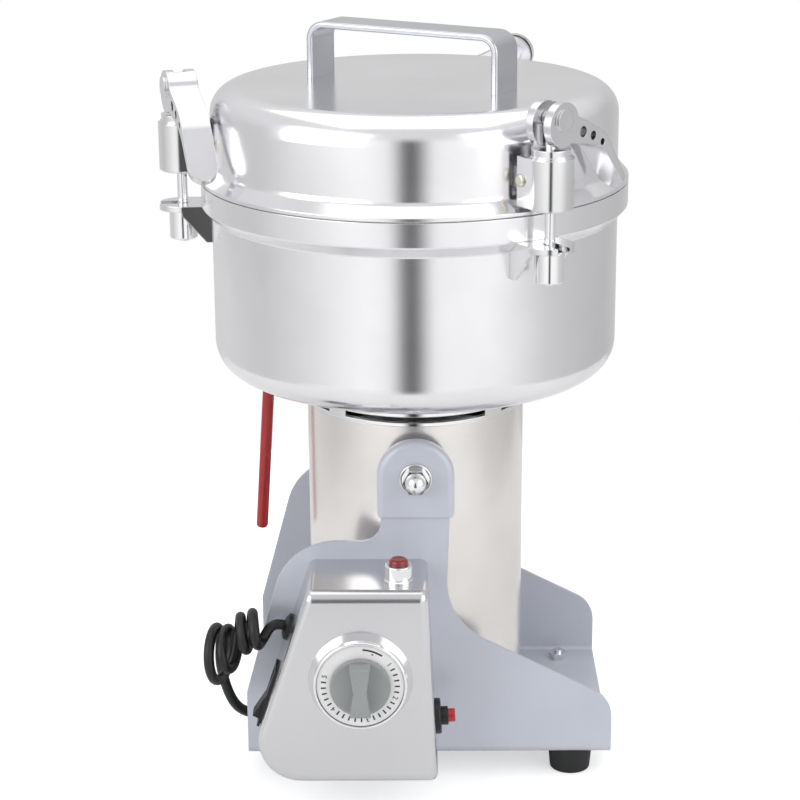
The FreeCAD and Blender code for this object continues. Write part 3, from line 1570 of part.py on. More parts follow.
def housing_master():
    """A strap folded round a bush, its two cheeks open towards the lid."""
    bush = turned("ClampBush", [
        ("0", "barrel_bottom - bush_stand"),
        ("bush_rim", "barrel_bottom - bush_stand"),
        ("bush_rim", "barrel_bottom"),
        ("barrel_radius", "barrel_bottom"),
        ("barrel_radius", "barrel_top"),
        ("bush_rim", "barrel_top"),
        ("bush_rim", "barrel_top + bush_stand"),
        ("washer_collar", "barrel_top + bush_stand"),
        ("washer_collar", "barrel_top + collar_height"),
        ("0", "barrel_top + collar_height"),
    ])
    low = size.barrel_bottom - size.bush_stand
    dress(bush, "Fillet", "bush_stand * 0.6", ring_at(size.bush_rim, low))
    move(bush, y="-stud_ring")
    cheek_end = "(bowl_radius + cheek_reach)"
    cheeks = block("Cheeks", "2 * barrel_radius", f"stud_ring - {cheek_end}",
                   "barrel_height", y=f"-(stud_ring + {cheek_end}) / 2", z="barrel_bottom")
    pocket_end = "(bowl_radius + pocket_reach)"
    pocket = block("Pocket", "2 * (barrel_radius - cheek_thickness)",
                   f"{pocket_end} - bowl_radius", "barrel_height + 4 * bush_stand",
                   y=f"-({pocket_end} + bowl_radius) / 2", z="barrel_bottom - 2 * bush_stand")
    bore = cylinder("StudBore", "stud_radius + stud_gap", "lid_top", y="-stud_ring")
    hole = along_rim("HingeHole", "hinge_pin + turning_gap", "4 * barrel_radius",
                     "-hinge_ring", "hinge_height")
    return cut("Housing", fuse("HousingSolid", bush, cheeks),
               fuse("HousingHoles", pocket, bore, hole))


PIVOT = "(barrel_top + collar_height + pivot_rise)"


def stud_master():
    """Threaded stud with its cross head and nut, drawn about the stud's own axis."""
    top = f"{PIVOT} - (head_radius + lever_pin) / 2"
    shank = cylinder("StudShank", "stud_radius", f"{top} - stud_bottom", z="stud_bottom")
    head = across_rim("StudHead", "head_radius", "head_width", "0", "0", PIVOT)
    hole = across_rim("HeadHole", "lever_pin + turning_gap", "2 * head_width", "0", "0", PIVOT)
    stud = cut("Stud", fuse("StudSolid", shank, head), hole)
    nut_top = "(fork_top - fork_thickness - seat_gap - 0.1)"
    nut = turned("ClampNut", [
        ("stud_radius + turning_gap", f"{nut_top} - clamp_nut_height"),
        ("clamp_nut", f"{nut_top} - clamp_nut_height"),
        ("clamp_nut", nut_top),
        ("stud_radius + turning_gap", nut_top),
    ])
    low = size.fork_top - size.fork_thickness - size.seat_gap - 0.1 - size.clamp_nut_height
    dress(nut, "Fillet", "1.2", ring_at(size.clamp_nut, low))
    dress(nut, "Fillet", "0.8", ring_at(size.clamp_nut, low + size.clamp_nut_height))
    return group("StudAndNut", stud, nut)


def horn(along, down):
    """A corner of the lever, as shares of its reach and fall."""
    return f"lever_reach * {along}", f"-lever_fall * {down}"


def lever_master():
    """Cam lever: an off-centre disc with a curved horn, pierced three times."""
    lever = new_body("Lever")
    bends = ((0.62, 0.23), (0.57, 0.38))
    outline = polygon(lever, "XZ", [
        ("0", "0"),
        horn(0.2, -0.02),
        horn(0.62, 0.23),
        horn(1, 0.94),
        horn(0.965, 1),
        horn(0.57, 0.38),
        horn(0.2, 0.30),
        ("0", "-cam_radius"),
    ])
    feature(lever, "Pad", outline, "lever_width", midplane=True)
    for along, down in bends:
        corner = line_at(x=along * size.lever_reach, z=-down * size.lever_fall)
        dress(lever, "Fillet", "lever_reach / 2", corner)
    phase = "(cam_phase - 90)"
    disc = circles(lever, "XZ", [(f"cam_offset * cos({phase})", f"cam_offset * sin({phase})",
                                  "cam_radius")])
    feature(lever, "Pad", disc, "lever_width", midplane=True)
    tip = size.lever_reach * 0.965

    def paddle(edge):
        ends = [vertex.Point for vertex in edge.Vertexes]
        across = abs(ends[0].y - ends[-1].y) < 1e-3
        return across and all(end.x > tip - 1e-3 for end in ends)
    dress(lever, "Fillet", "lever_nose", paddle)
    move(lever, z=PIVOT)
    tools = [block("LeverSlot", "lever_reach", "head_width + 2 * seat_gap", "lever_reach",
                   x="slot_back - lever_reach / 2", z=f"{PIVOT} - lever_reach / 2"),
             across_rim("PinHole", "lever_pin", "2 * lever_width", "0", "0", PIVOT)]
    for along, down, radius in ((0.29, 0.18, 3.0), (0.44, 0.25, 2.5), (0.58, 0.35, 1.9)):
        x, z = horn(along, down)
        tools.append(across_rim("GripHole", str(radius), "2 * lever_width", x, "0",
                                f"{PIVOT} + ({z})"))
    body = cut("LeverBody", lever, fuse("LeverRoom", *tools))
    pin = across_rim("LeverPin", "lever_pin", "lever_width + 2 * rivet_head", "0", "0", PIVOT)
    heads = []
    for side in (-1, 1):
        middle = f"{side} * (lever_width + rivet_head) / 2"
        heads.append(across_rim("PinHead", "pin_head", "rivet_head", "0", middle, PIVOT))
    return group("LeverAndPin", body, fuse("LeverRivet", pin, *heads))


def clamps():
    housing = housing_master()
    for number, turn in enumerate(clamp_turns(), start=1):
        keep(copies("ClampHousing", housing, [Placement(Vector(), turn)]),
             f"clamp_housing_{number}")
    twist = Rotation(Vector(0, 0, 1), size.lever_twist)
    for kind, master in (("stud", stud_master()), ("lever", lever_master())):
        for number, turn in enumerate(clamp_turns(), start=1):
            place = turn.multVec(Vector(0, -size.stud_ring, 0))
            one = copies(f"Clamp{kind.title()}", master, [Placement(place, turn * twist)])
            keep(one, f"clamp_{kind}_{number}")


# Tilting rod under the bowl, with a sleeve to hold

def tilting_rod():
    rise = size.bowl_floor - size.rod_bottom
    lean = math.degrees(math.atan2(size.rod_bottom_ring - size.rod_top_ring, rise))
    length = math.hypot(size.rod_bottom_ring - size.rod_top_ring, rise)
    turn = Rotation(Vector(0, 0, 1), size.rod_turn).multiply(Rotation(Vector(0, 1, 0), -lean))
    place = ("rod_bottom_ring * cos(rod_turn)", "rod_bottom_ring * sin(rod_turn)",
             "rod_bottom", turn)
    rod = cylinder("Rod", "rod_radius", f"{length} + 5", z="2")
    nut = hexagon("RodNut", "rod_radius * 2.4", "rod_radius * 1.8", f"{length} - 4")
    top = block("RodLimit", "60", "60", "30", z="bowl_floor")
    level = move(fuse("RodSolid", rod, nut), *place)
    move(top, "rod_top_ring * cos(rod_turn) - 30", "rod_top_ring * sin(rod_turn) - 30",
         "bowl_floor")
    keep(cut("TiltRod", level, top), "tilt_rod")
    grip = turned("Grip", [
        ("rod_radius", "2"),
        ("rod_radius", f"{length} - 12"),
        ("grip_radius", f"{length} - 12"),
        ("grip_radius", "0"),
        ("0", "0"),
        ("0", "2"),
    ])
    dress(grip, "Fillet", "grip_radius * 0.6", ring_at(size.grip_radius, 0))
    keep(grip, "tilt_grip", *place)


# Motor: field, armature, commutator, brushes, bearings, fan, shaft and blades

def motor_field():
    outer = f"{COLUMN_BORE} - turning_gap"
    height = "(stator_top - stator_bottom)"
    yoke = turned("Yoke", [
        ("stator_inner", "stator_bottom"),
        (outer, "stator_bottom"),
        (outer, "stator_top"),
        ("stator_inner", "stator_top"),
    ])
    poles = block("Poles", "2 * stator_inner + 4", "pole_width", height, z="stator_bottom")
    bore = cylinder("StatorBore", "stator_bore", "stator_top")
    keep(cut("Stator", fuse("StatorSolid", yoke, poles), bore), "stator_core")
    coils = []
    for side in (-1, 1):
        middle = f"{side} * (stator_bore + 1.5 + coil_width / 2)"
        solid = block("Coil", "coil_width", "pole_width + 2 * coil_overhang",
                      f"{height} + 2 * coil_overhang", x=middle,
                      z="stator_bottom - coil_overhang")
        window = block("CoilWindow", "coil_width * 2", "pole_width + 2 * turning_gap",
                       f"{height} + 2 * turning_gap", x=middle,
                       z="stator_bottom - turning_gap")
        coils.append(cut("FieldCoil", solid, window))
    keep(group("FieldCoils", *coils), "field_coils")


def bearings():
    ring = turned("Bearing", [
        ("shaft_radius + turning_gap", "0"),
        ("bearing_radius - turning_gap", "0"),
        ("bearing_radius - turning_gap", "bearing_height"),
        ("shaft_radius + turning_gap", "bearing_height"),
    ])
    spots = []
    for height in (size.lower_bearing, size.upper_bearing):
        spots.append(Placement(Vector(0, 0, height), UPRIGHT))
    keep(copies("Bearings", ring, spots), "bearings")
    outer = f"{COLUMN_BORE} - turning_gap"
    lip = "bearing_radius - bracket_thickness"
    bracket = turned("Bracket", [
        ("bearing_radius", "0"),
        ("bearing_radius + bracket_thickness", "0"),
        ("bearing_radius + bracket_thickness", "bearing_height - bracket_thickness / 2"),
        (outer, "bearing_height - bracket_thickness / 2"),
        (outer, "bearing_height + bracket_thickness / 2"),
        (lip, "bearing_height + bracket_thickness / 2"),
        (lip, "bearing_height"),
        ("bearing_radius", "bearing_height"),
    ])
    start = "bearing_radius + bracket_thickness * 2"
    window = polygon(bracket, "XY", [
        (start, "-bearing_height"),
        (f"{COLUMN_BORE} - 8", "-bearing_height"),
        (f"{COLUMN_BORE} - 8", "bearing_height"),
        (start, "bearing_height"),
    ], "bearing_height * 2")
    pattern(bracket, feature(bracket, "Pocket", window, "bearing_height * 2"), 4)
    flip = Placement(Vector(0, 0, size.upper_bearing + size.bearing_height),
                     Rotation(Vector(1, 0, 0), 180))
    spots = [Placement(Vector(0, 0, size.lower_bearing), UPRIGHT), flip]
    keep(copies("Brackets", bracket, spots), "bearing_brackets")


def brushes():
    start = "(commutator_radius + seat_gap)"
    shelf = "(lower_bearing + bearing_height + bracket_thickness / 2)"
    pieces = []
    for side in (-1, 1):
        holder = block("BrushHolder", "brush_length * 0.8", "brush_length * 1.6",
                       "commutator_height", y=f"{side} * ({start} + 2 + brush_length * 0.8)",
                       z=shelf)
        channel = block("BrushChannel", "brush_length / 2", "brush_length * 2",
                        "commutator_height / 2", y=f"{side} * ({start} + brush_length)",
                        z=f"{shelf} + commutator_height / 4")
        brush = block("Brush", "brush_length / 2 - 2 * turning_gap", "brush_length",
                      "commutator_height / 2 - turning_gap * 2",
                      y=f"{side} * ({start} + brush_length / 2)",
                      z=f"{shelf} + commutator_height / 4 + turning_gap")
        pieces.append(cut("Holder", holder, channel))
        pieces.append(brush)
    keep(group("BrushGear", *pieces), "brush_gear")


def slotted(name, radius, bottom, height, count, depth):
    """A drum with lengthwise slots, bored for the shaft."""
    drum = turned(name, [
        ("shaft_radius + turning_gap", bottom),
        (radius, bottom),
        (radius, f"{bottom} + {height}"),
        ("shaft_radius + turning_gap", f"{bottom} + {height}"),
    ])
    slot = polygon(drum, "XY", [
        (f"{radius} - {depth}", "-slot_width / 2"),
        (f"{radius} + 1", "-slot_width / 2"),
        (f"{radius} + 1", "slot_width / 2"),
        (f"{radius} - {depth}", "slot_width / 2"),
    ], f"{bottom} + {height}")
    pattern(drum, feature(drum, "Pocket", slot, height), count)
    return drum


def rotor():
    low = "(stator_bottom + 2)"
    core = slotted("Armature", "armature_radius", low, "(stator_top - stator_bottom - 4)",
                   12, 9)
    keep(core, "armature")
    drum = slotted("Commutator", "commutator_radius", "commutator_bottom",
                   "commutator_height", 18, 1)
    keep(drum, "commutator")

    fan = new_body("Fan")
    hub = circles(fan, "XY", [("0", "0", "fan_radius")], "fan_bottom")
    feature(fan, "Pad", hub, "bracket_thickness / 2")
    vane = polygon(fan, "XY", [
        ("shaft_radius * 2.5", "-1"),
        ("fan_radius - 1", "-6"),
        ("fan_radius - 1", "-4"),
        ("shaft_radius * 2.5", "1"),
    ], "fan_bottom")
    pattern(fan, feature(fan, "Pad", vane, "fan_height"), 10)
    collar = circles(fan, "XY", [("0", "0", "shaft_radius * 2")], "fan_bottom")
    feature(fan, "Pad", collar, "fan_height")
    bore = circles(fan, "XY", [("0", "0", "shaft_radius + turning_gap")], "fan_bottom")
    feature(fan, "Pocket", bore, "fan_height", reverse=True)
    keep(fan, "cooling_fan")

    end = "blade_height + 2 * blade_thickness"
    shaft = turned("Shaft", [
        ("0", "shaft_bottom"),
        ("shaft_radius", "shaft_bottom"),
        ("shaft_radius", "blade_height"),
        ("shaft_neck", "blade_height"),
        ("shaft_neck", f"{end} + nut_height + 3"),
        ("0", f"{end} + nut_height + 3"),
    ])
    keep(shaft, "motor_shaft")
    blade = new_body("Blade")
    half = "blade_length / 2"
    outline = polygon(blade, "XY", [
        (f"-{half}", "-blade_width / 4"),
        ("-blade_width", "-blade_width / 2"),
        ("blade_width", "-blade_width / 2"),
        (half, "blade_width / 6"),
        (half, "blade_width / 4"),
        ("blade_width", "blade_width / 2"),
        ("-blade_width", "blade_width / 2"),
        (f"-{half}", "-blade_width / 6"),
    ])
    feature(blade, "Pad", outline, "blade_thickness")
    hole = circles(blade, "XY", [("0", "0", "shaft_neck + turning_gap")], "blade_thickness")
    feature(blade, "Pocket", hole, "blade_thickness")
    spots = []
    for level, turn in ((0, 20), (1, 110)):
        height = size.blade_height + level * size.blade_thickness
        spots.append(Placement(Vector(0, 0, height), Rotation(Vector(0, 0, 1), turn)))
    keep(copies("Blades", blade, spots), "grinding_blades")
    nut = cut("BladeNut", hexagon("BladeHex", "nut_radius", "nut_height", end),
              cylinder("BladeThread", "shaft_neck + turning_gap", "lid_top"))
    keep(nut, "blade_nut")


def build():
    for step in (stand_frame, feet, trunnions, control_box, timer, lamp, cutout,
                 rocker_switch, mains_lead, column, bowl, forks, lid, lid_brackets, clamps,
                 tilting_rod, motor_field, bearings, brushes, rotor):
        step()
    doc.recompute()


def check_and_export():
    for thing in doc.Objects:
        if "Invalid" in thing.State or "Error" in thing.State:
            raise RuntimeError(f"{thing.Name}: {thing.State}")
    os.makedirs("parts", exist_ok=True)
    for old in os.listdir("parts"):
        os.remove(os.path.join("parts", old))
    reach = FreeCAD.BoundBox()
    for thing in nodes:
        shape = thing.Shape
        if shape.isNull() or not shape.isValid() or shape.Volume <= 0:
            raise RuntimeError(thing.Label + ": no valid shape")
        shape.exportStep(f"parts/{thing.Label}.step")
        box = shape.BoundBox
        if thing.Label not in ("cord_gland", "cord_hank", "cord_tail", "power_plug",
                               "plug_pins"):
            reach.add(box)
        print(f"{thing.Label:20} solids {len(shape.Solids)}  x {box.XMin:.1f} {box.XMax:.1f}"
              f"  y {box.YMin:.1f} {box.YMax:.1f}  z {box.ZMin:.1f} {box.ZMax:.1f}")
    print(f"{len(nodes)} sub-parts, box without the lead: x {reach.XMin:.2f} {reach.XMax:.2f}"
          f"  y {reach.YMin:.2f} {reach.YMax:.2f}  z {reach.ZMin:.2f} {reach.ZMax:.2f}")


build()
check_and_export()
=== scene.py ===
# %% [markdown]
# # A tilting grain mill, dressed
# The imported CAD model arrives as a fixed frame: every rigid part is already in
# place and has its real size. This file adds what CAD leaves plain: finishes,
# the soft mains lead, the printed dial and the light that polished steel needs.
# The first call loads the frame.

import math

import bpy
from mathutils import Matrix, Vector


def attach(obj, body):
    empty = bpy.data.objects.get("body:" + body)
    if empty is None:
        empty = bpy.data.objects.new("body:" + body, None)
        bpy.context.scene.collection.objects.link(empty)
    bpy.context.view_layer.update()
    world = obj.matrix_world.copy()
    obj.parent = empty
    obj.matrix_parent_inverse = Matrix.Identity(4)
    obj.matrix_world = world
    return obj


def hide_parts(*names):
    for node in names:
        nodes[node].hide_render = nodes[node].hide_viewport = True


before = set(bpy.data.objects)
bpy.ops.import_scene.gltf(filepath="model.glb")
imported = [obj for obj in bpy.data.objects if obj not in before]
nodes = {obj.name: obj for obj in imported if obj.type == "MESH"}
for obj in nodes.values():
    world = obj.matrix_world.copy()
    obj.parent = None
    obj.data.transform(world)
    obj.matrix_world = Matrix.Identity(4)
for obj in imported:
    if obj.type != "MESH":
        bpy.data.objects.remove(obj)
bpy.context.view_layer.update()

# %% [markdown]
# The mill's own centre line does not run through the origin, because the
# control box and the clamp levers push the middle of the whole object aside.
# `at()` turns millimetres counted from that centre line into scene metres.

# %% Measure from the centre line
AXIS = (10.28, 4.04)


def at(x, y, z):
    """A point in metres, from millimetres counted from the mill's centre line."""
    return Vector(((x + AXIS[0]) / 1000, (y + AXIS[1]) / 1000, z / 1000))


def link(thing):
    bpy.context.scene.collection.objects.link(thing)
    return thing


print("centre line at", [round(value, 4) for value in at(0, 0, 0)])

# %% [markdown]
# ## Camera
# The photograph was taken from a good metre in front and a little above, with
# a long lens: the round rims are flat ellipses and the box shows its top. The
# place and angles below come from matching the rims, the column and the feet.
# A camera looks along its own -Z, so it is first tipped up by 90 degrees less
# the downward pitch, then turned and rolled.

# %% Set up the camera
SENSOR_WIDTH, LENS = 36, 103.4
CAMERA_SPOT = (0, -1336, 636.3)
PITCH_DOWN, TURN_LEFT, ROLL = 17.47, 0.4, -0.35


def turned(degrees, axis):
    return Matrix.Rotation(math.radians(degrees), 4, axis)


def make_camera():
    data = bpy.data.cameras.new("Camera")
    data.sensor_width = SENSOR_WIDTH
    data.lens = LENS
    camera = link(bpy.data.objects.new("Camera", data))
    facing = turned(TURN_LEFT, "Z") @ turned(90 - PITCH_DOWN, "X") @ turned(ROLL, "Z")
    camera.matrix_world = Matrix.Translation(at(*CAMERA_SPOT)) @ facing
    bpy.context.scene.camera = camera
    return camera


camera = make_camera()
print("camera at", [round(value, 3) for value in camera.location])

# %% [markdown]
# ## The mains lead
# A cord is one length of something flexible. The real one leaves the box's
# slanted side, makes two small turns and two larger ones that hang to its
# left, and runs behind the stand's wing to its plug. A NURBS spline of order 3
# is touched by its control polygon at the middle of each side, so a circle
# needs its control points a little outside it: `BULGE` is that factor for
# points 30 degrees apart.

# %% Lay out the coil
POINTS_A_TURN = 12
HALF_STEP = math.cos(math.radians(360 / POINTS_A_TURN))
BULGE = 1 / ((6 + 2 * HALF_STEP) / 8)
CORD_THICKNESS = 6.2
TIP = Vector((-77.8, -88, 105.1))
OUTWARD = Vector((-0.9494, 0, 0.3141))
SMALL_LOOP, LARGE_LOOP, LARGE_PITCH = 10.2, 15.4, 7.05
SMALL_MIDDLE, SMALL_STEP = Vector((-13.8, -9.6, 2.1)), Vector((-7.4, 3.9, -4.0))
LARGE_MIDDLE = Vector((-31.2, 1.9, -20.0))
SMALL_TURN, LARGE_TURN = 0.5, 2.5
YAW = math.radians(14.5)
WIDEN_START, WIDEN_END = 2.16, 2.97
FIRST_TURN, LAST_TURN = 0.6, 4.25


def blend(turns):
    """0 on the small turns, 1 on the large ones, with a smooth change between."""
    share = max(0, min(1, (turns - WIDEN_START) / (WIDEN_END - WIDEN_START)))
    return share * share * (3 - 2 * share)


def on_coil(turns, bulge=1.0):
    """The cord's place after this many turns, in millimetres from the centre line."""
    share = blend(turns)
    step = Vector((-math.cos(YAW), math.sin(YAW), 0)) * LARGE_PITCH
    small = TIP + SMALL_MIDDLE + SMALL_STEP * (turns - SMALL_TURN)
    large = TIP + LARGE_MIDDLE + step * (turns - LARGE_TURN)
    radius = (SMALL_LOOP * (1 - share) + LARGE_LOOP * share) * bulge
    back = Vector((math.sin(YAW * share), math.cos(YAW * share), 0))
    angle = 2 * math.pi * turns
    ring = Vector((0, 0, 1)) * math.cos(angle) + back * math.sin(angle)
    return small * (1 - share) + large * share + ring * radius


# %% Join gland, coil and tail
START = [TIP, TIP + OUTWARD * 7, TIP + Vector((-13, -5, -8.5)), on_coil(FIRST_TURN, BULGE)]
TAIL = [Vector((-112, -61, 43)), Vector((-103, -51, 31)), Vector((-93, -37, 26)),
        Vector((-90, -22, 29.4)), Vector((-90, -6, 29.4))]
COIL_POINTS = 43
TAIL_RUN = 15


def lead_points():
    """Control points of the whole lead, in millimetres from the centre line."""
    turns = [LAST_TURN - (step + 0.5) / POINTS_A_TURN for step in reversed(range(COIL_POINTS))]
    coil = [on_coil(turn, BULGE) for turn in turns]
    end = on_coil(LAST_TURN)
    heading = (end - on_coil(LAST_TURN - 0.002)).normalized()
    return START + coil + [end + heading * TAIL_RUN] + TAIL


print("coil:", len(lead_points()), "control points")

# %% [markdown]
# A curve's own box reaches as far past its points as their radius, which is a
# whole metre if nothing is said. So each point gets the lead's real radius,
# and the bevel, which is multiplied by it, is 1.

# %% Draw the lead as one spline
def spline_curve(name, points, thickness):
    data = bpy.data.curves.new(name, "CURVE")
    data.dimensions = "3D"
    data.bevel_depth = 1
    data.bevel_resolution = 5
    data.resolution_u = 8
    spline = data.splines.new("NURBS")
    spline.points.add(len(points) - 1)
    for control, point in zip(spline.points, points):
        control.co = (*at(*point), 1)
        control.radius = thickness / 2000
    spline.order_u = 3
    spline.use_endpoint_u = True
    data.use_fill_caps = True
    return link(bpy.data.objects.new(name, data))


lead = spline_curve("mains_lead", lead_points(), CORD_THICKNESS)
print("lead:", len(lead.data.splines[0].points), "control points")

# %% [markdown]
# The curve stands in for both solids that CAD keeps for collision.

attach(lead, "stand")
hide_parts("cord_hank", "cord_tail")

# %% [markdown]
# ## Finishes
# Each finish is a material of its own: the Principled shader and its plain
# numbers sit in the material, and an effect that several finishes share is a
# node group that only puts out a mask, a value or a normal. First a small
# helper that lays out nodes from left to right, so that the cells below can
# stay short.

# %% Helpers for nodes
def new_group(name, inputs, outputs):
    """An empty node group with named float inputs; outputs are (name, kind)."""
    group = bpy.data.node_groups.new(name, "ShaderNodeTree")
    for label, value in inputs:
        socket = group.interface.new_socket(name=label, in_out="INPUT",
                                            socket_type="NodeSocketFloat")
        socket.default_value = value
    for label, kind in outputs:
        group.interface.new_socket(name=label, in_out="OUTPUT", socket_type=kind)
    return group


def add(tree, kind, **settings):
    node = tree.nodes.new(kind)
    for key, value in settings.items():
        setattr(node, key, value)
    node.location.x = 180 * len(tree.nodes)
    return node


def math_node(tree, operation, first, second):
    node = add(tree, "ShaderNodeMath", operation=operation)
    for index, value in enumerate((first, second)):
        if isinstance(value, bpy.types.NodeSocket):
            tree.links.new(value, node.inputs[index])
        else:
            node.inputs[index].default_value = value
    return node.outputs[0]


print("node helpers ready")

# %% [markdown]
# **Turning marks.** Bowl, lid and column are spun or rolled and then polished
# on a lathe, so their fine lines run round the vertical axis. Noise that is
# stretched hard along the surface and squeezed along Z gives those lines
# without any image: the object's own coordinates are scaled unevenly first.

# %% Group: turning marks
def turning_marks():
    group = new_group("TurningMarks", [("Scale", 900.0), ("Stretch", 0.02)],
                      [("Height", "NodeSocketFloat"), ("Cloud", "NodeSocketFloat")])
    enter = add(group, "NodeGroupInput")
    place = add(group, "ShaderNodeTexCoord")
    squeeze = add(group, "ShaderNodeCombineXYZ")
    group.links.new(enter.outputs["Stretch"], squeeze.inputs[0])
    group.links.new(enter.outputs["Stretch"], squeeze.inputs[1])
    squeeze.inputs[2].default_value = 1
    uneven = add(group, "ShaderNodeVectorMath", operation="MULTIPLY")
    group.links.new(place.outputs["Object"], uneven.inputs[0])
    group.links.new(squeeze.outputs[0], uneven.inputs[1])
    lines = add(group, "ShaderNodeTexNoise")
    lines.inputs["Detail"].default_value = 3
    group.links.new(uneven.outputs[0], lines.inputs["Vector"])
    group.links.new(enter.outputs["Scale"], lines.inputs["Scale"])
    cloud = add(group, "ShaderNodeTexNoise")
    cloud.inputs["Scale"].default_value = 14
    cloud.inputs["Detail"].default_value = 4
    group.links.new(place.outputs["Object"], cloud.inputs["Vector"])
    leave = add(group, "NodeGroupOutput")
    group.links.new(lines.outputs[0], leave.inputs["Height"])
    group.links.new(cloud.outputs[0], leave.inputs["Cloud"])
    return group


MARKS = turning_marks()
print("group", MARKS.name)

# %% [markdown]
# **Grain.** Enamel has a faint orange peel, moulded plastic a fine grain and
# rubber a coarser one. They differ only in scale, so one group serves all.

# %% Group: grain
def grain():
    group = new_group("Grain", [("Scale", 400.0), ("Spread", 20.0)],
                      [("Height", "NodeSocketFloat"), ("Cloud", "NodeSocketFloat")])
    enter = add(group, "NodeGroupInput")
    place = add(group, "ShaderNodeTexCoord")
    made = []
    for label, detail in (("Scale", 2), ("Spread", 4)):
        noise = add(group, "ShaderNodeTexNoise")
        noise.inputs["Detail"].default_value = detail
        group.links.new(place.outputs["Object"], noise.inputs["Vector"])
        group.links.new(enter.outputs[label], noise.inputs["Scale"])
        made.append(noise)
    leave = add(group, "NodeGroupOutput")
    group.links.new(made[0].outputs[0], leave.inputs["Height"])
    group.links.new(made[1].outputs[0], leave.inputs["Cloud"])
    return group


GRAIN = grain()
print("group", GRAIN.name)

# %% [markdown]
# A Bevel node first rounds every edge in the shading, as pressing and
# polishing round it on the real sheet, so that an edge catches a thin line of
# light. What is the same all over, such as the coat, is a plain number on the
# shader's own socket.

# %% Build a finish
EDGE_RADIUS = 0.0007


def finish(name, colour, rough, drift, group, values, bump, **sockets):
    """drift is how far colour and roughness wander; values feed the group."""
    material = bpy.data.materials.new(name)
    material.use_nodes = True
    tree = material.node_tree
    shader = tree.nodes["Principled BSDF"]
    effect = add(tree, "ShaderNodeGroup", node_tree=group)
    for label, value in values.items():
        effect.inputs[label].default_value = value
    ramp = add(tree, "ShaderNodeValToRGB")
    dark = [channel * (1 - drift) for channel in colour]
    light = [min(1, channel * (1 + drift)) for channel in colour]
    ramp.color_ramp.elements[0].position = 0.3
    ramp.color_ramp.elements[0].color = (*dark, 1)
    ramp.color_ramp.elements[1].position = 0.7
    ramp.color_ramp.elements[1].color = (*light, 1)
    tree.links.new(effect.outputs["Cloud"], ramp.inputs[0])
    tree.links.new(ramp.outputs["Color"], shader.inputs["Base Color"])
    wander = math_node(tree, "MULTIPLY_ADD", effect.outputs["Cloud"], rough * drift * 2)
    wander.node.inputs[2].default_value = rough * (1 - drift)
    tree.links.new(wander, shader.inputs["Roughness"])
    softened = add(tree, "ShaderNodeBevel")
    softened.inputs["Radius"].default_value = EDGE_RADIUS
    relief = add(tree, "ShaderNodeBump")
    tree.links.new(softened.outputs[0], relief.inputs["Normal"])
    relief.inputs["Strength"].default_value = bump
    relief.inputs["Distance"].default_value = 0.0002
    tree.links.new(effect.outputs["Height"], relief.inputs["Height"])
    tree.links.new(relief.outputs["Normal"], shader.inputs["Normal"])
    for label, value in sockets.items():
        shader.inputs[label.replace("_", " ")].default_value = value
    return material


